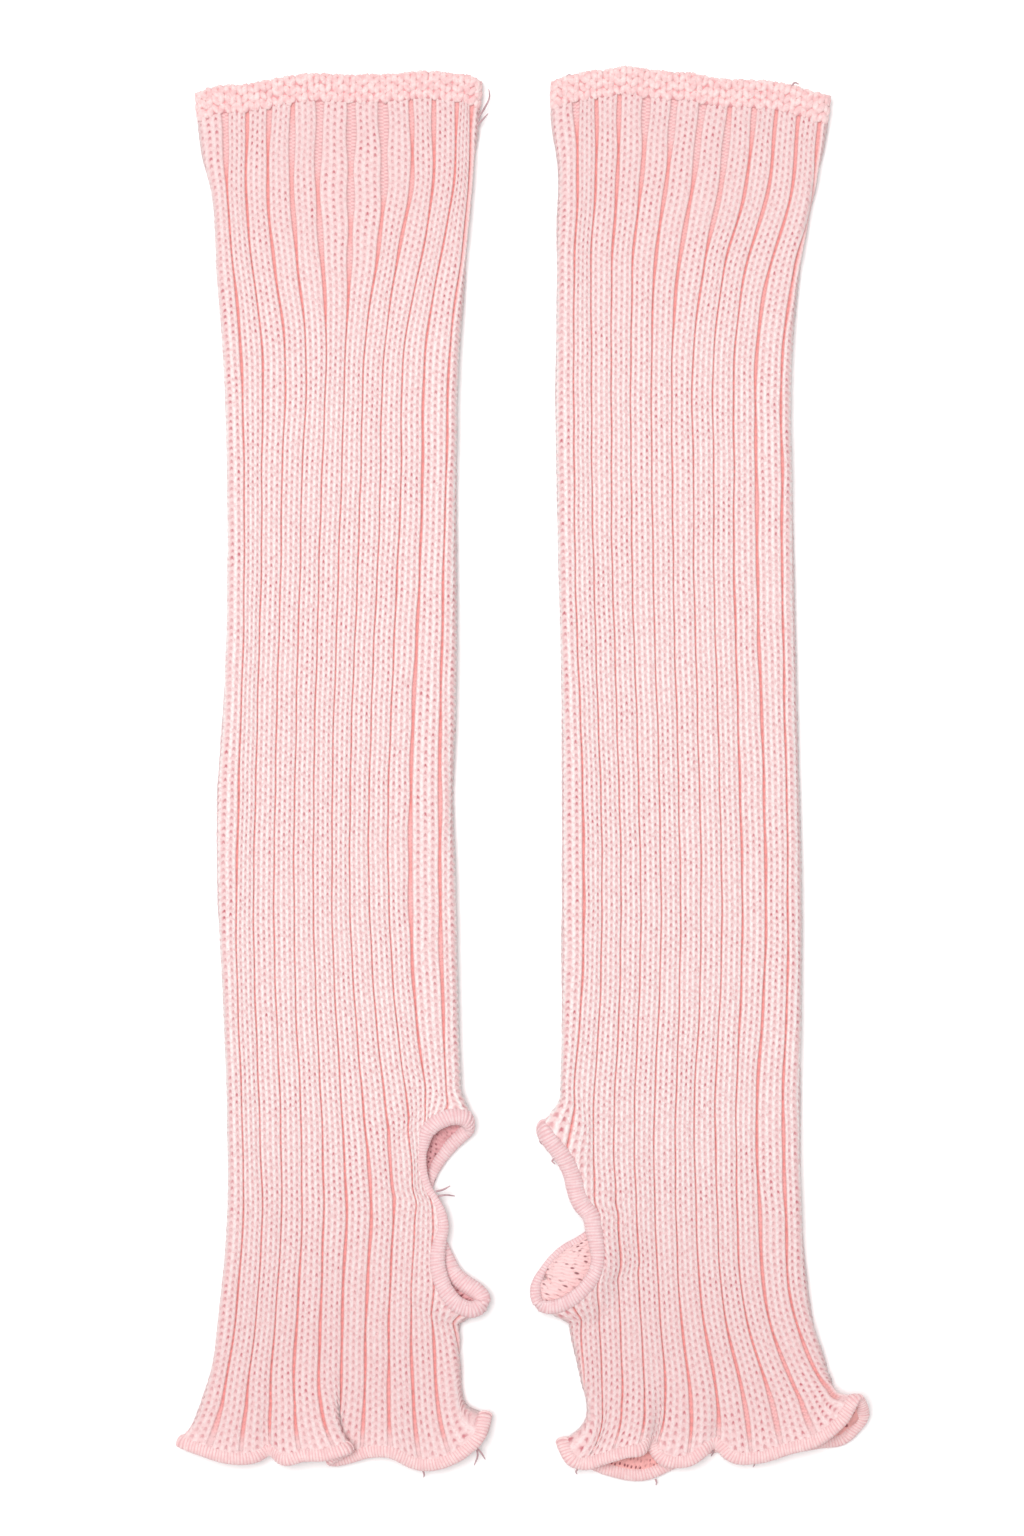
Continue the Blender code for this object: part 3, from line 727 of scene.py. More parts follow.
class Wire:
    """A node's output that takes Python arithmetic: an expression adds the Math nodes it needs."""

    def __init__(self, tree, output=None):
        self.tree, self.output = tree, output

    def node(self, kind, settings=None, sockets=None, out=0):
        """Adds a node: its settings first, then the values or links of its sockets."""
        made = self.tree.nodes.new(kind)
        for name, value in (settings or {}).items():
            setattr(made, name, value)
        for name, value in (sockets or {}).items():
            if isinstance(value, Wire):
                self.tree.links.new(value.output, made.inputs[name])
            else:
                made.inputs[name].default_value = value
        return Wire(self.tree, made.outputs[out])

    def math(self, operation, *others):
        values = dict(enumerate((self, *others)))
        return self.node("ShaderNodeMath", {"operation": operation}, values)

    def __add__(self, other): return self.math("ADD", other)
    def __sub__(self, other): return self.math("SUBTRACT", other)
    def __mul__(self, other): return self.math("MULTIPLY", other)
    def __pow__(self, other): return self.math("POWER", other)
    def __neg__(self): return self.math("MULTIPLY", -1.0)
    def __abs__(self): return self.math("ABSOLUTE")
    __radd__, __rmul__ = __add__, __mul__
    def __rsub__(self, other): return (-self).math("ADD", other)

    def wave(self):
        """1 at whole numbers and 0 half-way between."""
        return (self * (2 * math.pi)).math("COSINE") * 0.5 + 0.5

    def ramp(self, start, end, **settings):
        """0 at the first value and 1 at the second, straight between and held beyond."""
        return self.node("ShaderNodeMapRange", settings,
                         {"Value": self, "From Min": start, "From Max": end})

    def eased(self, start, end):
        """The same, eased between."""
        return self.ramp(start, end, interpolation_type="SMOOTHSTEP")

    def mix(self, one, other):
        """From one colour to the other as this goes from 0 to 1."""
        return self.node("ShaderNodeMix", {"data_type": "RGBA"}, {0: self, 6: one, 7: other}, out=2)

    def noise(self, scale, detail, out=0):
        """Noise as it is at this place."""
        return self.node("ShaderNodeTexNoise", {}, {"Vector": self, "Scale": scale, "Detail": detail}, out)

    def vector(self, *values):
        return self.node("ShaderNodeCombineXYZ", {}, dict(enumerate(values)))

    def split(self):
        """Its X, Y and Z."""
        made = self.node("ShaderNodeSeparateXYZ", {}, {0: self})
        return [Wire(self.tree, output) for output in made.output.node.outputs]

    def stored(self, name, kind="FLOAT"):
        """What the points of a mesh hold under this name, in a geometry tree."""
        return self.node("GeometryNodeInputNamedAttribute", {"data_type": kind}, {"Name": name})

    def seen(self, name):
        """The same number, in a material."""
        return self.node("ShaderNodeAttribute", {"attribute_name": name}, out=2)

    def chance(self, low, high, seed):
        """A number between these two for every point."""
        return self.node("FunctionNodeRandomValue", {"data_type": "FLOAT"},
                         {2: low, 3: high, "Seed": seed}, out=1)


def new_tree(name, *labels):
    """A geometry tree with these inputs after its geometry, numbers unless their name says more;
    gives it and its inputs."""
    kinds = {"Seed": "Int", "Material": "Material"}
    tree = bpy.data.node_groups.new(name, "GeometryNodeTree")
    tree.interface.new_socket(name="Geometry", in_out="INPUT", socket_type="NodeSocketGeometry")
    for label in labels:
        kind = kinds.get(label, "Float")
        tree.interface.new_socket(name=label, in_out="INPUT", socket_type=f"NodeSocket{kind}")
    tree.interface.new_socket(name="Geometry", in_out="OUTPUT", socket_type="NodeSocketGeometry")
    given = tree.nodes.new("NodeGroupInput")
    return tree, {socket.name: Wire(tree, socket) for socket in given.outputs if socket.name}


def end_tree(geometry, material):
    """Ends a tree: instances made real, pressed flat where they rest on the table, material set."""
    real = geometry.node("GeometryNodeRealizeInstances", {}, {"Geometry": geometry})
    spot = real.node("ShaderNodeVectorMath", {"operation": "MAXIMUM"}, {
        0: real.node("GeometryNodeInputPosition"), 1: (-1.0, -1.0, 0.0)})
    rested = real.node("GeometryNodeSetPosition", {}, {"Geometry": real, "Position": spot})
    dressed = rested.node("GeometryNodeSetMaterial", {}, {"Geometry": rested, "Material": material})
    out = dressed.tree.nodes.new("NodeGroupOutput")
    dressed.tree.links.new(dressed.output, out.inputs[0])


def run_tree(piece, tree, values):
    """Runs a tree on an object with these inputs, and keeps the result as its plain mesh."""
    modifier = piece.modifiers.new(tree.name, "NODES")
    modifier.node_group = tree
    for item in tree.interface.items_tree:
        if item.in_out == "INPUT" and item.name in values:
            modifier[item.identifier] = values[item.name]
    graph = bpy.context.evaluated_depsgraph_get()
    made = bpy.data.meshes.new_from_object(
        piece.evaluated_get(graph), preserve_all_data_layers=True, depsgraph=graph)
    piece.modifiers.remove(modifier)
    piece.data = made
    made.name = piece.name


# How far from the middle of a rib, as a share of it, each part of its shape starts and ends
FACE_END = (0.33, 0.37)         # of its three wales
SHOULDER = (0.34, 0.40)         # where it slopes down beside them
FURROW_WALL = (0.40, 0.45)
LADDER = (0.44, 0.46)           # the purl stitches at the bottom of the furrow
WALES_FROM = 0.16               # of a rib, before its wales
WALES_WIDTH = 0.68              # of a rib, what they take up


def across_rib(rib):
    """How far from the middle of its rib a spot is, its wale, 0 to 3, and its share across."""
    across = rib.math("FRACT")
    return abs(across - 0.5), (across - WALES_FROM) * (3 / WALES_WIDTH), across


def staggered(course, wale):
    """The course coordinate as the stitches of this wale have it: the middle wale of a rib is half
    a stitch behind its neighbours."""
    return course + (wale.math("FLOOR") - 1).math("ABSOLUTE") * 0.5


def knit_relief():
    """The tree that carves the rib into a smooth tube: furrows between ribs, wales across each rib
    and the hollow in the middle of every stitch. It moves points along their stored outward."""
    tree, given = new_tree(
        "knit relief", "Furrow depth", "Open depth", "Shoulder drop", "Rounding", "Wale depth",
        "Stitch depth", "Ladder height", "Unevenness", "Seed", "Material")
    cloth = given["Geometry"]
    opened = cloth.stored("opened")
    rib, course, weight = cloth.stored("knit", "FLOAT_VECTOR").split()
    aside, wale, _ = across_rib(rib)
    hollow = 1 - wale.wave()
    face = 1 - aside.ramp(*FACE_END)
    stitch = staggered(course, wale).wave()
    depth = given["Furrow depth"] + (given["Open depth"] - given["Furrow depth"]) * opened
    carved = (given["Shoulder drop"] * aside.ramp(*SHOULDER)
              + (depth - given["Shoulder drop"]) * aside.ramp(*FURROW_WALL)
              + given["Rounding"] * (aside * 2) ** 2.0
              + face * hollow * (given["Wale depth"] + given["Stitch depth"] * stitch)
              - face * (1 - hollow) * (given["Stitch depth"] * 0.4) * stitch
              - given["Ladder height"] * aside.ramp(*LADDER) * stitch)
    height = cloth.chance(-1.0, 1.0, given["Seed"]) * given["Unevenness"] - carved
    push = cloth.stored("outward", "FLOAT_VECTOR")
    push = push.node("ShaderNodeVectorMath", {"operation": "SCALE"},
                     {0: push, "Scale": height * weight * MM})
    moved = cloth.node("GeometryNodeSetPosition", {}, {"Geometry": cloth, "Offset": push})
    end_tree(moved, given["Material"])
    return tree


def linear(red, green, blue):
    """A colour read off a screen, 0 to 255, as the shader's RGBA."""
    levels = [value / 255 for value in (red, green, blue)]
    return (*[v / 12.92 if v <= 0.04045 else ((v + 0.055) / 1.055) ** 2.4 for v in levels], 1.0)


YARN_HIGHLIGHT = linear(248, 243, 241)      # painted highlight along the ridges of the wales
YARN = linear(234, 197, 197)
YARN_HOLLOW_SHADE = linear(198, 108, 118)     # painted shade in the middle of a stitch
YARN_DEEP_SHADE = linear(238, 160, 155)       # painted shade down in a furrow
YARN_PURL = linear(240, 200, 199)       # on the purl wale, where the furrow is opened
YARN_INSIDE = linear(247, 209, 208)
YARN_HOLE_SHADE = linear(140, 66, 76)         # painted shade through the holes between stitches, seen from the inside
YARN_CREASE_SHADE = linear(165, 64, 66)       # painted shade at the very bottom of a shut furrow
FACE_COLOUR_END = (0.36, 0.42)          # from the middle of a rib, where its wales' colour ends
# Courses, counted from the top, between which:
PLAIN_FROM = (12.0, 52.0)               # the wales' painted highlight becomes full
PLAIN_TO = (148.0, 190.0)               # and less again
LOWER_FROM = (135.0, 185.0)             # the cloth turns a little deeper
LINING_DEEPENS = (184.0, 192.0)         # its inside takes painted shade
RIBS_DIE = (HEM_AT - PLAIN_WITHIN) / COURSE, (HEM_AT - THIN_WITHIN) / COURSE    # the furrows end


def new_yarn(name):
    """A material for yarn, and the place on the object, from which its patterns are worked out."""
    material = bpy.data.materials.new(name)
    material.use_nodes = True
    return material, Wire(material.node_tree).node("ShaderNodeTexCoord", out=3)


def end_yarn(material, colour, height, strength, depth):
    """Dull acrylic with a faint bloom of loose fibre, of this colour and bumped this deep in mm."""
    bump = colour.node("ShaderNodeBump", {}, {
        "Strength": strength, "Distance": depth * MM, "Height": height})
    shader = material.node_tree.nodes["Principled BSDF"]
    for name, value in (("Base Color", colour), ("Normal", bump)):
        material.node_tree.links.new(value.output, shader.inputs[name])
    for name, value in (("Roughness", 0.92), ("Sheen Weight", 0.2), ("Sheen Roughness", 0.5),
                        ("Specular IOR Level", 0.25)):
        shader.inputs[name].default_value = value
    return material


def knit_material(name, shade):
    """Soft acrylic rib knit: matt, with a light nap, a painted highlight on the ridges and painted deep
    pink shade in the furrows. Its pattern follows the Knit map, rib by rib and course by course. shade is
    how much painted shade deepens its inside, where it shows through the heel hole."""
    material, place = new_yarn(name)
    rib, course, _ = place.node("ShaderNodeUVMap", {"uv_map": "Knit"}).split()
    inside, opened = place.seen("inside"), place.seen("opened")
    aside, wale, across = across_rib(rib)
    row = staggered(course, wale)

    # The two legs of every stitch, and the gap between them, which loose fibre makes uneven; the gap takes
    # painted shade
    off_middle = abs(wale.math("FRACT") - 0.5) * 2
    leg = (row + 0.5 - off_middle * 0.5).wave()
    stitch = place.vector(wale.math("FLOOR") + rib.math("FLOOR") * 3, (row + 0.5).math("FLOOR"))
    chance = place.node("ShaderNodeTexWhiteNoise", {"noise_dimensions": "2D"}, {"Vector": stitch})
    stray_across, stray_down, _ = place.noise(420.0, 2.0, out=1).split()
    astray = abs(wale.math("FRACT") - 0.5 + (stray_across - 0.5) * 0.35) * 2
    gap = row + 0.5 - astray * 0.5 + (stray_down - 0.5) * 0.45
    gap = (1 - gap.wave()).eased(0.4, 0.95) * (1 - astray.eased(0.05, 0.6))

    # Wales: a painted highlight on the legs and painted shade in their gaps, the highlight fullest
    # half-way down
    fuzz, tone = place.noise(1300.0, 3.0), place.noise(60.0, 4.0)
    grain, broken = place.noise(900.0, 1.0), place.noise(220.0, 2.0)
    face = 1 - aside.ramp(*FACE_COLOUR_END)
    # light: where the painted highlight falls, along the ridges and on the legs, less where the rib is
    # stretched
    light = (off_middle.eased(0.3, 0.9) * 0.75 + leg * 0.25) * face * grain.ramp(0.25, 0.55)
    plain = course.eased(*PLAIN_FROM) * (1 - course.eased(*PLAIN_TO))
    colour = (light * (plain * 0.4 + 0.6) * (1 - opened * 0.3)).mix(YARN, YARN_HIGHLIGHT)
    # painted shade in the gap of every stitch, stronger or weaker at random
    colour = (gap * face * (0.3 + chance * 0.7) * tone.ramp(0.2, 0.6)).mix(colour, YARN_HOLLOW_SHADE)

    # Furrows: painted shade, with a broken darker painted crease where they are shut, and a ladder of purl
    # stitches with painted shade between them where they are open
    # furrow: where the furrow's painted shade lies, spreading softly onto the shoulders
    furrow = aside.eased(0.40, 0.455) * 0.75 + aside.eased(0.30, 0.46) * 0.25
    furrow = furrow * (1 - course.eased(*RIBS_DIE))
    # deep: the furrow's painted shade, paler where the purl wale lies open
    deep = opened.ramp(0.25, 0.8).mix(YARN_DEEP_SHADE, YARN_PURL)
    ladder = (course * 2 + across * 1.5).wave() * opened
    deep = (ladder * 0.4).mix(deep, YARN_HOLLOW_SHADE)
    # crease: a broken line of darker painted shade at the bottom of a shut furrow
    crease = aside.eased(0.44, 0.475) * (1 - opened.ramp(0.1, 0.4)) * broken.ramp(0.42, 0.62)
    deep = (crease * 0.4).mix(deep, YARN_CREASE_SHADE)
    colour = furrow.mix(colour, deep)
    colour = (fuzz.ramp(0.5, 0.72) * 0.14 + course.eased(*LOWER_FROM) * 0.06).mix(colour, YARN_HOLLOW_SHADE)

    # The inside: purl bumps with painted shade between them, painted shade over all of it by shade and
    # more towards the hem, and small holes between stitches painted dark as shade
    purl = (course * 2 + (rib * 4).wave() * 0.3).wave()
    grid = place.node("ShaderNodeTexVoronoi", {"voronoi_dimensions": "2D"}, {
        "Vector": place.vector(rib * 5.5, course * 1.5), "Scale": 1.0, "Randomness": 0.5})
    hole = (1 - grid.ramp(0.12, 0.28)) * broken.ramp(0.42, 0.58)
    # lining: painted shade between the purl bumps, and over the whole inside by shade
    lining = (purl * 0.12 + shade).mix(YARN_INSIDE, YARN_HOLLOW_SHADE)
    lining = (course.eased(*LINING_DEEPENS) * 0.7).mix(lining, YARN_DEEP_SHADE)
    # painted shade in the holes between the stitches of the inside
    colour = inside.mix(colour, (hole * 0.9).mix(lining, YARN_HOLE_SHADE))
    height = leg * face * 0.3 + grain * 0.4 - gap * 0.6 + inside * (purl * 0.25 - hole)
    return end_yarn(material, colour, height, 0.8, 0.35)


def tube_columns(rib):
    """Fine columns on the front and round both folds, coarser ones on the back."""
    return SHARES_FRONT if rib < FINE_RIBS or rib == RIBS - 1 else SHARES_BACK


def tube_layer(warmer, inner, step, shares):
    """The outside of a tube, or with inner its inside: what each of its points holds, its faces, and
    how many points stand in a row."""
    down = np.append(np.arange(math.ceil(TUBE_FROM / step) * step, TUBE_TO, step), TUBE_TO)
    columns, rib, opening = knit_grid(warmer, down, shares)
    quads, away = cut_grid(warmer, down, columns)
    downs = np.broadcast_to(down[:, None], columns.shape)
    normal = outward(warmer, downs, columns)
    to_hem = TUBE_TO - downs
    firm = 1 - fade((away - CUT_AT) / THIN_WITHIN)
    half = WALL / 2 * np.minimum(RIM_THIN + (1 - RIM_THIN) * firm,
                                 1 - HEM_THINNED * fade(to_hem / THIN_WITHIN))
    place = middle_of_cloth(warmer, downs, columns) + normal * (-half if inner else half)[..., None]
    weight = np.minimum(firm, 1 - fade(to_hem / PLAIN_WITHIN))
    weight = LEAST_RELIEF + (1 - LEAST_RELIEF) * weight
    # Where a point sits on the way round the hole, or round the tube for the two ends
    reach = ((columns + 0.5) % 1 - 0.5) * 2 * half_girth(warmer, down)[:, None]
    turn = np.arctan2(reach, (sum(warmer["hole"]) / 2 - downs) / HOLE_STRETCH) / (2 * math.pi) % 1
    turn[[0, -1]] = columns[[0, -1]] % 1
    knit = np.broadcast_arrays(rib[None], downs / COURSE, weight)
    held = {
        "points": in_world(warmer, place).reshape(-1, 3),
        "outward": turned_to_world(warmer, normal).reshape(-1, 3) * (1 - inner),
        "knit": np.stack(knit, axis=-1).reshape(-1, 3),
        "inside": np.full(columns.size, float(inner)),
        "opened": opening.ravel(),
        "turn": turn.ravel()}
    return held, quads, columns.shape[1]


def knit_tube(side, warmer, material, relief):
    """One warmer's tube: its outside carved stitch by stitch, its inside smooth, closed all round."""
    layers, faces, count = [], [], 0
    rim_loops, end_loops = [], ([], [])
    for inner, step, shares in ((0, COURSE / 2, tube_columns),
                                (1, INSIDE_COURSES * COURSE, lambda rib: SHARES_INSIDE)):
        layer, quads, wide = tube_layer(warmer, inner, step, shares)
        size = len(layer["points"])
        for loop in loops_of(quads):
            row = np.array(loop) // wide
            end = 0 if np.all(row == 0) else 1 if np.all(row == size // wide - 1) else None
            (rim_loops if end is None else end_loops[end]).append([count + k for k in loop])
        layers.append(layer)
        faces += (quads + count).tolist()
        count += size
    held = {name: np.concatenate([layer[name] for layer in layers]) for name in layers[0]}
    for pair in (rim_loops, *end_loops):
        faces += zipped(*pair, held["turn"])
    used = np.unique(np.concatenate([np.ravel(face) for face in faces]))
    renumber = np.zeros(count, int)
    renumber[used] = np.arange(len(used))
    held = {name: values[used] for name, values in held.items()}
    piece = new_mesh(f"{side}_knit_tube", held["points"], [renumber[list(face)] for face in faces])
    for name in ("knit", "outward"):
        keep_number(piece.data, name, held[name], "FLOAT_VECTOR", "vector")
    for name in ("inside", "opened"):
        keep_number(piece.data, name, held[name])
    knit_uv(piece.data, held["knit"][:, 0], held["knit"][:, 1], RIBS)
    run_tree(piece, relief, {
        "Furrow depth": 1.25, "Open depth": 0.9, "Shoulder drop": 0.5, "Rounding": 0.35,
        "Wale depth": 0.5, "Stitch depth": 0.4, "Ladder height": 0.35, "Unevenness": 0.08, "Seed": 7,
        "Material": material})
    return piece


def declare(pieces, node):
    """These pieces, one for each side, ride on the one body, each in place of its side's CAD node."""
    for side, piece in pieces.items():
        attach(piece, "root")
        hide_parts(f"{side}_{node}")


relief = knit_relief()
fabric = {side: knit_material(f"{side}_rib_knit_yarn", warmer["inside_shade"])
          for side, warmer in WARMERS.items()}
tubes = {side: knit_tube(side, warmer, fabric[side], relief) for side, warmer in WARMERS.items()}
declare(tubes, "tube")


# ---- The welts -----------------------------------------------------------------------------------
# The tube starts in a welt, knitted double and a little thicker than the rib. Its stitches are the
# largest of all, two of their columns to each rib, and turn over the top edge in a row of scallops.

WELT_WALL = 2.8
WELT_HEIGHT = 9.2
WELT_ROLL = 1.15        # radius of the fold along its top
WELT_STITCH = 4.1       # a column of its stitches, across
WELT_SEGMENTS = 192     # of its band, round the tube
WELT_ROW = 2.95         # one of its stitches, down the warmer
WELT_ROWS = 3
LEG_HEIGHT = 1.7        # how thick the leg of a stitch is
LEG_SUNK = 0.62         # how far its middle lies inside the welt's outside
FIRST_ROW_SUNK = 0.25   # how much more in the first row, where the welt ends in the ribs
BAND_SUNK = 0.6         # how far the smooth band under the stitches lies inside the welt's outside
FIRST_ROW_AT = 1.5      # up from the lower edge of the welt
LEG_STRAY = (0.3, 0.04) # how far a leg strays along the way, in mm, and round, in columns
LEG_ASIDE = 0.245       # of a column, from its middle to each of its two legs
LEG_TILT = 21           # degrees, of the two legs towards each other
COUNTED_AT = 5.0        # up the welt, where its columns are counted
FINE_STEPS = 1201       # a line round a warmer is measured with this many points
TOP_CLEAR = 0.3         # the welt's normal is taken no nearer to its top edge than this
UP_STEP = 0.4           # its upward direction is taken over this
STITCH_LIGHT = linear(245, 219, 217)
STITCH_GAP_SHADE = linear(226, 158, 161)      # painted shade of what shows between the stitches


def yarn_material(name, light, deep):
    """Thick threads of the same yarn, lying over a core in the deep colour, painted shade where it shows
    between them.
    """
    material, place = new_yarn(name)
    tone, fibre = place.noise(500.0, 3.0), place.noise(1300.0, 3.0)
    middle = tuple((one + other) / 2 for one, other in zip(light, deep))
    colour = tone.ramp(0.35, 0.65).mix(light, middle)
    colour = (fibre.ramp(0.5, 0.7) * 0.4).mix(colour, deep)
    # the core takes the deep colour, painted shade between the threads
    return end_yarn(material, place.seen("core").mix(colour, deep), fibre, 0.5, 0.25)


def quaternions(across, up):
    """Rotations, W first, that turn X to each direction across and Y as near as can be to up."""
    x = unit(across)
    z = unit(np.cross(x, up))
    y = np.cross(z, x)
    turns = [Matrix(np.stack(axes, axis=1).tolist()).to_quaternion() for axes in zip(x, y, z)]
    return np.array([tuple(turn) for turn in turns])


def welt_spot(warmer, round_, way):
    """Place and outward direction on the welt, `way` millimetres from its lower front edge, up its
    outside and over its top."""
    way = np.asarray(way, float)
    flat = WELT_HEIGHT - WELT_ROLL
    angle = np.clip((way - flat) / WELT_ROLL, 0, math.pi)
    down = WELT_HEIGHT - np.minimum(way, flat) - WELT_ROLL * np.sin(angle)
    down = down + np.clip(way - flat - math.pi * WELT_ROLL, 0, None)
    middle = middle_of_cloth(warmer, down, round_, WELT_WALL)
    normal = outward(warmer, np.maximum(down, TOP_CLEAR), round_, WELT_WALL)
    up = unit(middle_of_cloth(warmer, down - UP_STEP, round_, WELT_WALL) - middle)
    lean = np.cos(angle)[..., None], np.sin(angle)[..., None]
    facing = normal * lean[0] + up * lean[1]
    place = middle + normal * (lean[0] * WELT_WALL / 2)
    return place, facing, up * lean[0] - normal * lean[1]


def stitch_tree():
    """The tree that lays a leg of a stitch, a plump spindle of yarn, on every point."""
    tree, given = new_tree("stitch legs", "Leg length", "Leg width", "Leg height", "Unevenness",
                           "Seed", "Material")
    points = given["Geometry"]
    ball = points.node("GeometryNodeMeshUVSphere", {}, {"Segments": 8, "Rings": 6, "Radius": 1.0})
    size = points.vector(*[given[name] * (MM / 2) for name in ("Leg width", "Leg length", "Leg height")])
    leg = points.node("GeometryNodeTransform", {}, {"Geometry": ball, "Scale": size})
    leg = leg.node("GeometryNodeSetShadeSmooth", {}, {"Geometry": leg})
    more = points.chance(1 - given["Unevenness"], given["Unevenness"] + 1, given["Seed"])
    legs = points.node("GeometryNodeInstanceOnPoints", {}, {
        "Points": points, "Instance": leg, "Rotation": points.stored("turn", "QUATERNION"),
        "Scale": more})
    end_tree(legs, given["Material"])
    return tree


def points_with_turns(name, places, turns):
    """An object of loose points, each with its rotation."""
    mesh = bpy.data.meshes.new(name)
    mesh.from_pydata(places.tolist(), [], [])
    keep_number(mesh, "turn", turns, "QUATERNION")
    return placed(name, mesh)


def join(name, parts):
    """One object of these ones' meshes; each part is (object, how deep in its core, 0 or 1)."""
    for part, core in parts:
        keep_number(part.data, "core", np.full(len(part.data.vertices), float(core)))
    objects = [part for part, _ in parts]
    with bpy.context.temp_override(active_object=objects[0], object=objects[0],
                                   selected_objects=objects, selected_editable_objects=objects):
        bpy.ops.object.join()
    objects[0].name = objects[0].data.name = name
    return objects[0]


def knit_welt(side, warmer, material, legs_tree):
    """A rolled band, with the two legs of every stitch laid on it."""
    flat, over = WELT_HEIGHT - WELT_ROLL, math.pi * WELT_ROLL
    ways = np.concatenate([np.linspace(0, flat, 6), flat + over * np.linspace(0.125, 1, 8),
                           [flat + over + 3.0, 2 * flat + over]])
    round_ = np.arange(WELT_SEGMENTS) / WELT_SEGMENTS
    place, facing, _ = welt_spot(warmer, round_[None], ways[:, None])
    place = place - facing * BAND_SUNK
    index = np.arange(place[..., 0].size).reshape(len(ways), WELT_SEGMENTS)
    ring = np.vstack([index, index[:1]])
    faces = quads_between(ring[:-1], ring[1:])
    band = new_mesh(f"{side}_band", in_world(warmer, place).reshape(-1, 3), faces)
    band.data.materials.append(material)

    fine = np.linspace(0, 1, FINE_STEPS)
    outside, _, _ = welt_spot(warmer, fine, COUNTED_AT)
    way_round = lengths_along(outside)
    count = round(way_round[-1] / WELT_STITCH)
    chance = np.random.default_rng(4)
    places, turns = [], []
    for row in range(WELT_ROWS + 2):
        for hand in (-1, 1):
            stray = chance.uniform(-1, 1, (2, count))
            way = FIRST_ROW_AT + WELT_ROW * row + LEG_STRAY[0] * stray[0]
            column = np.arange(count) + 0.5 + LEG_ASIDE * hand + LEG_STRAY[1] * stray[1]
            spot = np.interp(column / count * way_round[-1], way_round, fine)
            place, facing, up = welt_spot(warmer, spot, way)
            ahead, _, _ = welt_spot(warmer, spot + 0.001, way)
            across = unit(in_world(warmer, ahead) - in_world(warmer, place))
            up = turned_to_world(warmer, up)
            tilt = -hand * math.radians(LEG_TILT)
            leg_up = up * math.cos(tilt) - across * math.sin(tilt)
            leg_across = across * math.cos(tilt) + up * math.sin(tilt)
            under = np.clip(-facing[:, 2:], 0, 1)
            sunk = LEG_SUNK + (FIRST_ROW_SUNK if row == 0 else 0)
            sunk = sunk + under * np.clip(LEG_HEIGHT / 2 - sunk, 0, None)
            places.append(in_world(warmer, place - facing * sunk))
            turns.append(quaternions(leg_across, leg_up))
    legs = points_with_turns(f"{side}_legs", np.concatenate(places), np.concatenate(turns))
    run_tree(legs, legs_tree, {"Leg length": 4.4, "Leg width": 2.4, "Leg height": LEG_HEIGHT,
                               "Unevenness": 0.1, "Seed": 3, "Material": material})
    return join(f"{side}_knit_welt", [(band, 1), (legs, 0)])


legs_tree = stitch_tree()
thick_yarn = {side: yarn_material(f"{side}_welt_yarn", STITCH_LIGHT, STITCH_GAP_SHADE) for side in WARMERS}
welts = {side: knit_welt(side, warmer, thick_yarn[side], legs_tree) for side, warmer in WARMERS.items()}
declare(welts, "welt")


# ---- The heel edges ------------------------------------------------------------------------------
# The cut edge of each heel hole is overlocked all round: thread after thread wraps over it, side by
# side, and rolls it into a firm rounded band, stretched longer than the cloth it binds.

THREAD_PITCH = 1.05     # along the edge
THREAD_RADIUS = 0.4
SET_IN = 0.45           # from the cut edge to the middle of the band
CORE_SIDES = 12
CORE_OVER = 0.68        # of the threads' radius, how far the core stands out of the band's middle line
CLEAR = 1.06            # of its own reach down, how high a band lies over the table


def hole_rim(warmer, turn):
    """(down, round) of a spot on the hole's edge. turn is 0 at its top, 0.5 at its bottom, reached
    down the front, and 1 at its top again."""
    top, bottom = warmer["hole"]
    straight = bottom - top - 2 * HOLE_HALF
    quarter = math.pi * HOLE_HALF / 2
    turn = np.asarray(turn, float) % 1
    front = turn <= 0.5
    along = 2 * np.where(front, turn, 1 - turn) * (straight + 2 * quarter)
    angle = np.clip(along / HOLE_HALF, 0, math.pi / 2)
    angle = angle + np.clip((along - quarter - straight) / HOLE_HALF, 0, math.pi / 2)
    heart = top + HOLE_HALF + np.clip(along - quarter, 0, straight)
    radius = HOLE_HALF + SET_IN
    down = heart - radius * np.cos(angle)
    share = radius * narrowed(warmer, down) * np.sin(angle) / girth(warmer, down)
    return down, np.where(front, share, -share)


# How thick the band has rolled, by its turn round the hole
ROLLS = {
    "left": ((0, 1.2), (0.06, 1.15), (0.12, 0.6), (0.23, 0.5), (0.3, 0.8), (0.36, 1.1), (0.5, 1.2),
             (0.6, 1.3), (0.66, 1.2), (0.72, 0.6), (0.8, 0.6), (0.88, 0.85), (1, 1.15)),
    "right": ((0, 1.2), (0.06, 1.2), (0.17, 1.3), (0.27, 1.2), (0.34, 0.95), (0.47, 1.0), (0.54, 0.8),
              (0.6, 0.45), (0.8, 0.5), (0.93, 0.9), (1, 1.2)),
}


def round_thread(wire, radius):
    """The section of a thread."""
    return wire.node("GeometryNodeCurvePrimitiveCircle", {}, {"Resolution": 6, "Radius": radius * MM})


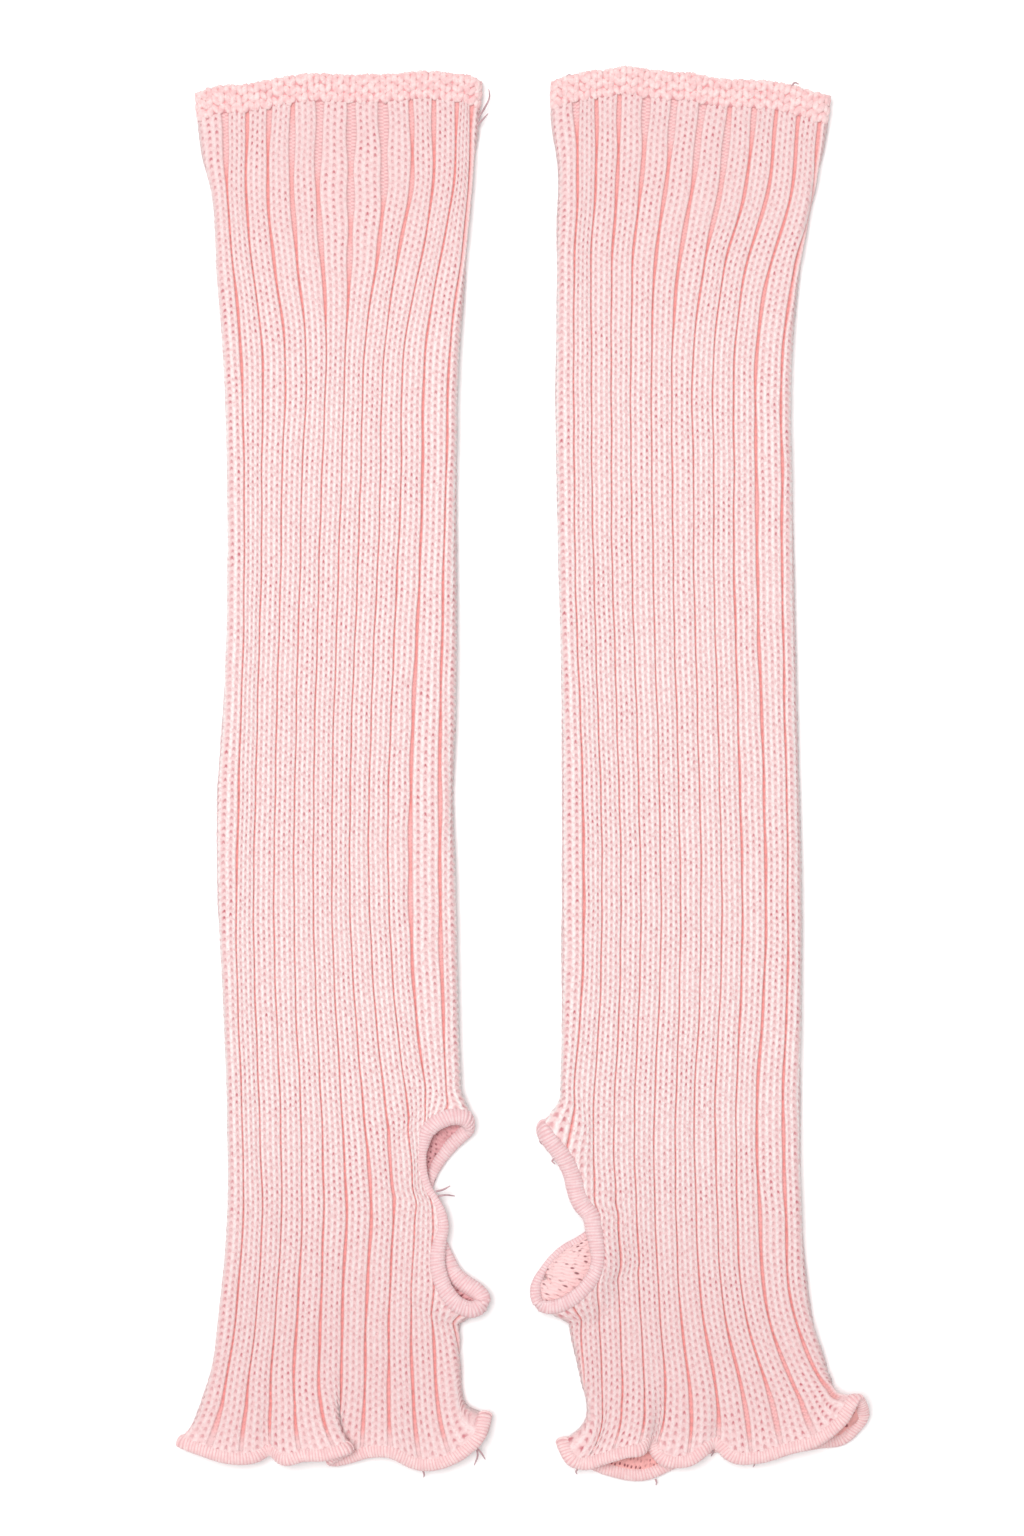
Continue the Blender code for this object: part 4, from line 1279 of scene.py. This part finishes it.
def overlock_tree():
    """The tree that lays a loop of flattened thread round the band at every point of its line."""
    tree, given = new_tree(
        "overlock", "Band width", "Band thickness", "Thread radius", "Thread spread", "Slant",
        "Unevenness", "Seed", "Material")
    line = given["Geometry"]
    roll = line.stored("roll")
    oval = line.node("GeometryNodeCurvePrimitiveCircle", {}, {"Resolution": 16, "Radius": 1.0})
    size = line.vector(given["Band thickness"] * (0.5 * MM), given["Band width"] * (0.5 * MM), 1.0)
    oval = line.node("GeometryNodeTransform", {}, {"Geometry": oval, "Scale": size})
    oval = line.node("GeometryNodeTransform", {}, {"Geometry": oval, "Rotation": (0.0, math.pi / 2, 0.0)})
    loop = line.node("GeometryNodeCurveToMesh", {}, {
        "Curve": oval, "Profile Curve": round_thread(line, given["Thread radius"])})
    loop = loop.node("GeometryNodeSetShadeSmooth", {}, {"Geometry": loop})
    chance, other = [line.chance(-1.0, 1.0, given["Seed"] + more) * given["Unevenness"]
                     for more in (0, 1)]
    lean = line.vector(0.0, other, given["Slant"] + chance)
    lean = lean.node("FunctionNodeEulerToRotation", {}, {0: lean})
    turn = line.node("FunctionNodeRotateRotation", {"rotation_space": "LOCAL"}, {
        0: line.stored("turn", "QUATERNION"), 1: lean})
    thick = (other * 0.4 + 1) * roll
    scale = line.vector(given["Thread spread"] * (chance + 1), thick, thick)
    loops = line.node("GeometryNodeInstanceOnPoints", {}, {
        "Points": line, "Instance": loop, "Rotation": turn, "Scale": scale})
    end_tree(loops, given["Material"])
    return tree


def bound_edge(name, warmer, spot_at, rolls, sizes, material):
    """An overlocked edge along the closed line that spot_at gives for turns from 0 to 1: an oval
    core, and the threads over it."""
    fine = np.linspace(0, 1, FINE_STEPS)
    line = middle_of_cloth(warmer, *spot_at(fine))
    length = lengths_along(line)
    count = round(length[-1] / THREAD_PITCH)
    turn = np.interp(np.arange(count) * length[-1] / count, length, fine)
    down, share = spot_at(turn)
    middle = middle_of_cloth(warmer, down, share)
    roll = np.interp(turn, *zip(*rolls))
    along = unit(np.roll(middle, -1, axis=0) - np.roll(middle, 1, axis=0))
    beside = unit(np.cross(along, outward(warmer, down, share)))
    above = np.cross(along, beside)
    half = np.array([sizes["Band width"], sizes["Band thickness"]]) / 2
    reach_down = np.hypot(half[0] * beside[:, 2], half[1] * above[:, 2]) + THREAD_RADIUS
    middle[:, 2] = np.maximum(middle[:, 2], CLEAR * reach_down * roll)
    turns = quaternions(turned_to_world(warmer, along), turned_to_world(warmer, beside))
    loops = points_with_turns(f"{name}_loops", in_world(warmer, middle), turns)
    keep_number(loops.data, "roll", roll)
    run_tree(loops, overlock, {**sizes, "Thread radius": THREAD_RADIUS, "Thread spread": 1.5,
                               "Slant": 0.12, "Unevenness": 0.07, "Seed": 11, "Material": material})

    angle = np.arange(CORE_SIDES)[:, None] * 2 * math.pi / CORE_SIDES
    half = half + CORE_OVER * THREAD_RADIUS
    ring = beside[:, None] * np.cos(angle) * half[0] + above[:, None] * np.sin(angle) * half[1]
    ring = middle[:, None] + ring * roll[:, None, None]
    index = np.arange(count * CORE_SIDES).reshape(count, CORE_SIDES)
    faces = quads_between(index, np.roll(index, -1, axis=0))
    core = new_mesh(f"{name}_core", in_world(warmer, ring).reshape(-1, 3), faces)
    core.data.materials.append(material)
    return join(name, [(core, 1), (loops, 0)])


overlock = overlock_tree()
THREAD_LIGHT = linear(238, 211, 212)
# painted shade on the core, where it shows between the threads
THREAD_GAP_SHADE = linear(227, 181, 184)
edging = {side: yarn_material(f"{side}_overlock_yarn", THREAD_LIGHT, THREAD_GAP_SHADE) for side in WARMERS}
heel_edges = {
    side: bound_edge(f"{side}_heel_overlock", warmer, lambda turn: hole_rim(warmer, turn), ROLLS[side],
                     {"Band width": 4.4, "Band thickness": 2.8}, edging[side])
    for side, warmer in WARMERS.items()}
declare(heel_edges, "heel_edge")


# ---- The hem edges -------------------------------------------------------------------------------
# The hem is overlocked in the same way while it is pulled out, so that it waves in a lettuce frill.

HEM_LIGHT = linear(241, 213, 212)
# painted shade on the core, where it shows between the threads
HEM_GAP_SHADE = linear(229, 180, 182)
hemming = {side: yarn_material(f"{side}_hem_yarn", HEM_LIGHT, HEM_GAP_SHADE) for side in WARMERS}
hem_edges = {
    side: bound_edge(f"{side}_hem_overlock", warmer, lambda turn: (0 * turn + HEM_AT - SET_IN, turn),
                     ((0, 1.0), (1, 1.0)), {"Band width": 4.2, "Band thickness": 2.2}, hemming[side])
    for side, warmer in WARMERS.items()}
declare(hem_edges, "hem_edge")


# ---- The loose thread ends -----------------------------------------------------------------------
# Where the overlock and the knitting were cut off, short ends of yarn stick out past the edges.

ENDS = {
    "left": """
    49.2 15.2 3.6   51.6 11.6 4.2   53.1 8.0 4.4   52.8 5.4 4.0
    48.2 18.4 3.2   50.2 16.4 3.6   52.6 13.8 3.8
    34.6 384.4 5.2  37.0 383.8 5.4  39.6 382.4 5.6
    35.2 386.0 5.4  38.2 385.6 5.2  41.2 386.0 4.8
    48.6 472.4 5.6  49.0 475.2 4.6  47.8 478.8 3.4
    48.8 472.6 5.2  50.4 474.6 4.2  51.6 476.8 3.4
    30.2 480.4 4.6  30.6 482.0 3.8  30.4 483.0 3.0""",
    "right": """
    35.2 479.8 5.6  35.6 480.8 4.6  35.2 481.8 3.6
    8.2 483.8 2.2   7.8 484.9 2.0   8.0 486.0 1.6
    -11.2 473.0 4.6 -11.5 474.6 3.4 -11.0 475.8 2.4
    -25.4 476.8 5.0 -25.8 478.2 4.2 -25.4 479.4 3.2
    46.6 366.2 3.4  48.0 367.2 3.0  47.4 368.4 2.8
    42.4 373.0 3.4  43.8 374.2 3.0  42.8 375.2 2.8
    36.4 1.8 5.2    38.0 0.9 5.6    39.6 1.9 5.2
    -38.2 5.2 4.6   -39.6 3.4 5.0   -41.0 3.8 4.4""",
}
END_STEPS = 10          # points along one
END_TAPER = 0.55        # of its thickness, what it has lost at its tip


def ends_tree():
    """The tree that gives every line of points a thread's thickness, thinner where `roll` says."""
    tree, given = new_tree("thread ends", "Thread radius", "Material")
    curve = given["Geometry"].node("GeometryNodeMeshToCurve", {}, {"Mesh": given["Geometry"]})
    thread = curve.node("GeometryNodeCurveToMesh", {}, {
        "Curve": curve, "Profile Curve": round_thread(curve, given["Thread radius"]),
        "Scale": curve.stored("roll"), "Fill Caps": True})
    end_tree(thread.node("GeometryNodeSetShadeSmooth", {}, {"Geometry": thread}), given["Material"])
    return tree


def thread_ends(side, warmer, material, tree):
    """All the loose ends of one warmer."""
    places, pairs, rolls = [], [], []
    for line in ENDS[side].strip().splitlines():
        marks = np.array(line.split(), float).reshape(-1, 3)
        along = chord_shares(marks)
        fine = np.linspace(0, 1, END_STEPS)
        spots = np.stack([smooth_through(along, marks[:, k], fine) for k in range(3)], axis=1)
        start = len(rolls)
        pairs += [(start + k, start + k + 1) for k in range(END_STEPS - 1)]
        places.append(in_world(warmer, spots))
        rolls += list(1 - END_TAPER * fine ** 3)
    mesh = bpy.data.meshes.new(f"{side}_thread_ends")
    mesh.from_pydata(np.concatenate(places).tolist(), pairs, [])
    keep_number(mesh, "roll", rolls)
    piece = placed(mesh.name, mesh)
    run_tree(piece, tree, {"Thread radius": 0.34, "Material": material})
    return piece


loose = ends_tree()
LOOSE_LIGHT, LOOSE_DARK = linear(205, 170, 174), linear(150, 112, 120)
ends_yarn = {side: yarn_material(f"{side}_end_yarn", LOOSE_LIGHT, LOOSE_DARK) for side in WARMERS}
ends = {side: thread_ends(side, warmer, ends_yarn[side], loose) for side, warmer in WARMERS.items()}
for side, end in ends.items():
    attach(end, "root")


# ---- The table, the light and the camera ---------------------------------------------------------
# A white table top under broad soft light from above, seen from straight overhead.

VIEW_HEIGHT = 0.5299    # of the table, from the top to the bottom of the picture
OVER = (-0.0034, 0.0027)        # the spot of the table in the middle of the view
LENS = 85.0
SENSOR = 36.0
TABLE_UNDER = 0.0004    # kept between the cloth and the table

corners = np.array([(-3, -3, 0), (3, -3, 0), (3, 3, 0), (-3, 3, 0)]) - (0, 0, TABLE_UNDER)
table = new_mesh("table_top", corners, [(0, 1, 2, 3)])
white = bpy.data.materials.new("white_table")
white.use_nodes = True
white.node_tree.nodes["Principled BSDF"].inputs["Base Color"].default_value = (1, 1, 1, 1)
white.node_tree.nodes["Principled BSDF"].inputs["Roughness"].default_value = 0.9
table.data.materials.append(white)

lamp = bpy.data.lights.new("softbox", "AREA")
lamp.shape, lamp.size, lamp.energy = "DISK", 1.4, 44.3
softbox = placed("softbox", lamp)
softbox.location = (-0.42, 0.3, 2.4)
softbox.rotation_euler = (math.radians(-7), math.radians(-10), 0)

world = bpy.data.worlds.new("white_room")
world.use_nodes = True
world.node_tree.nodes["Background"].inputs["Color"].default_value = (1, 1, 1, 1)
world.node_tree.nodes["Background"].inputs["Strength"].default_value = 0.54
bpy.context.scene.world = world

lens = bpy.data.cameras.new("overhead")
lens.lens, lens.sensor_width, lens.clip_end = LENS, SENSOR, 20.0
camera = placed("overhead", lens)
camera.location = (*OVER, VIEW_HEIGHT * LENS / SENSOR)
bpy.context.scene.camera = camera
bpy.context.scene.view_settings.view_transform = "Standard"
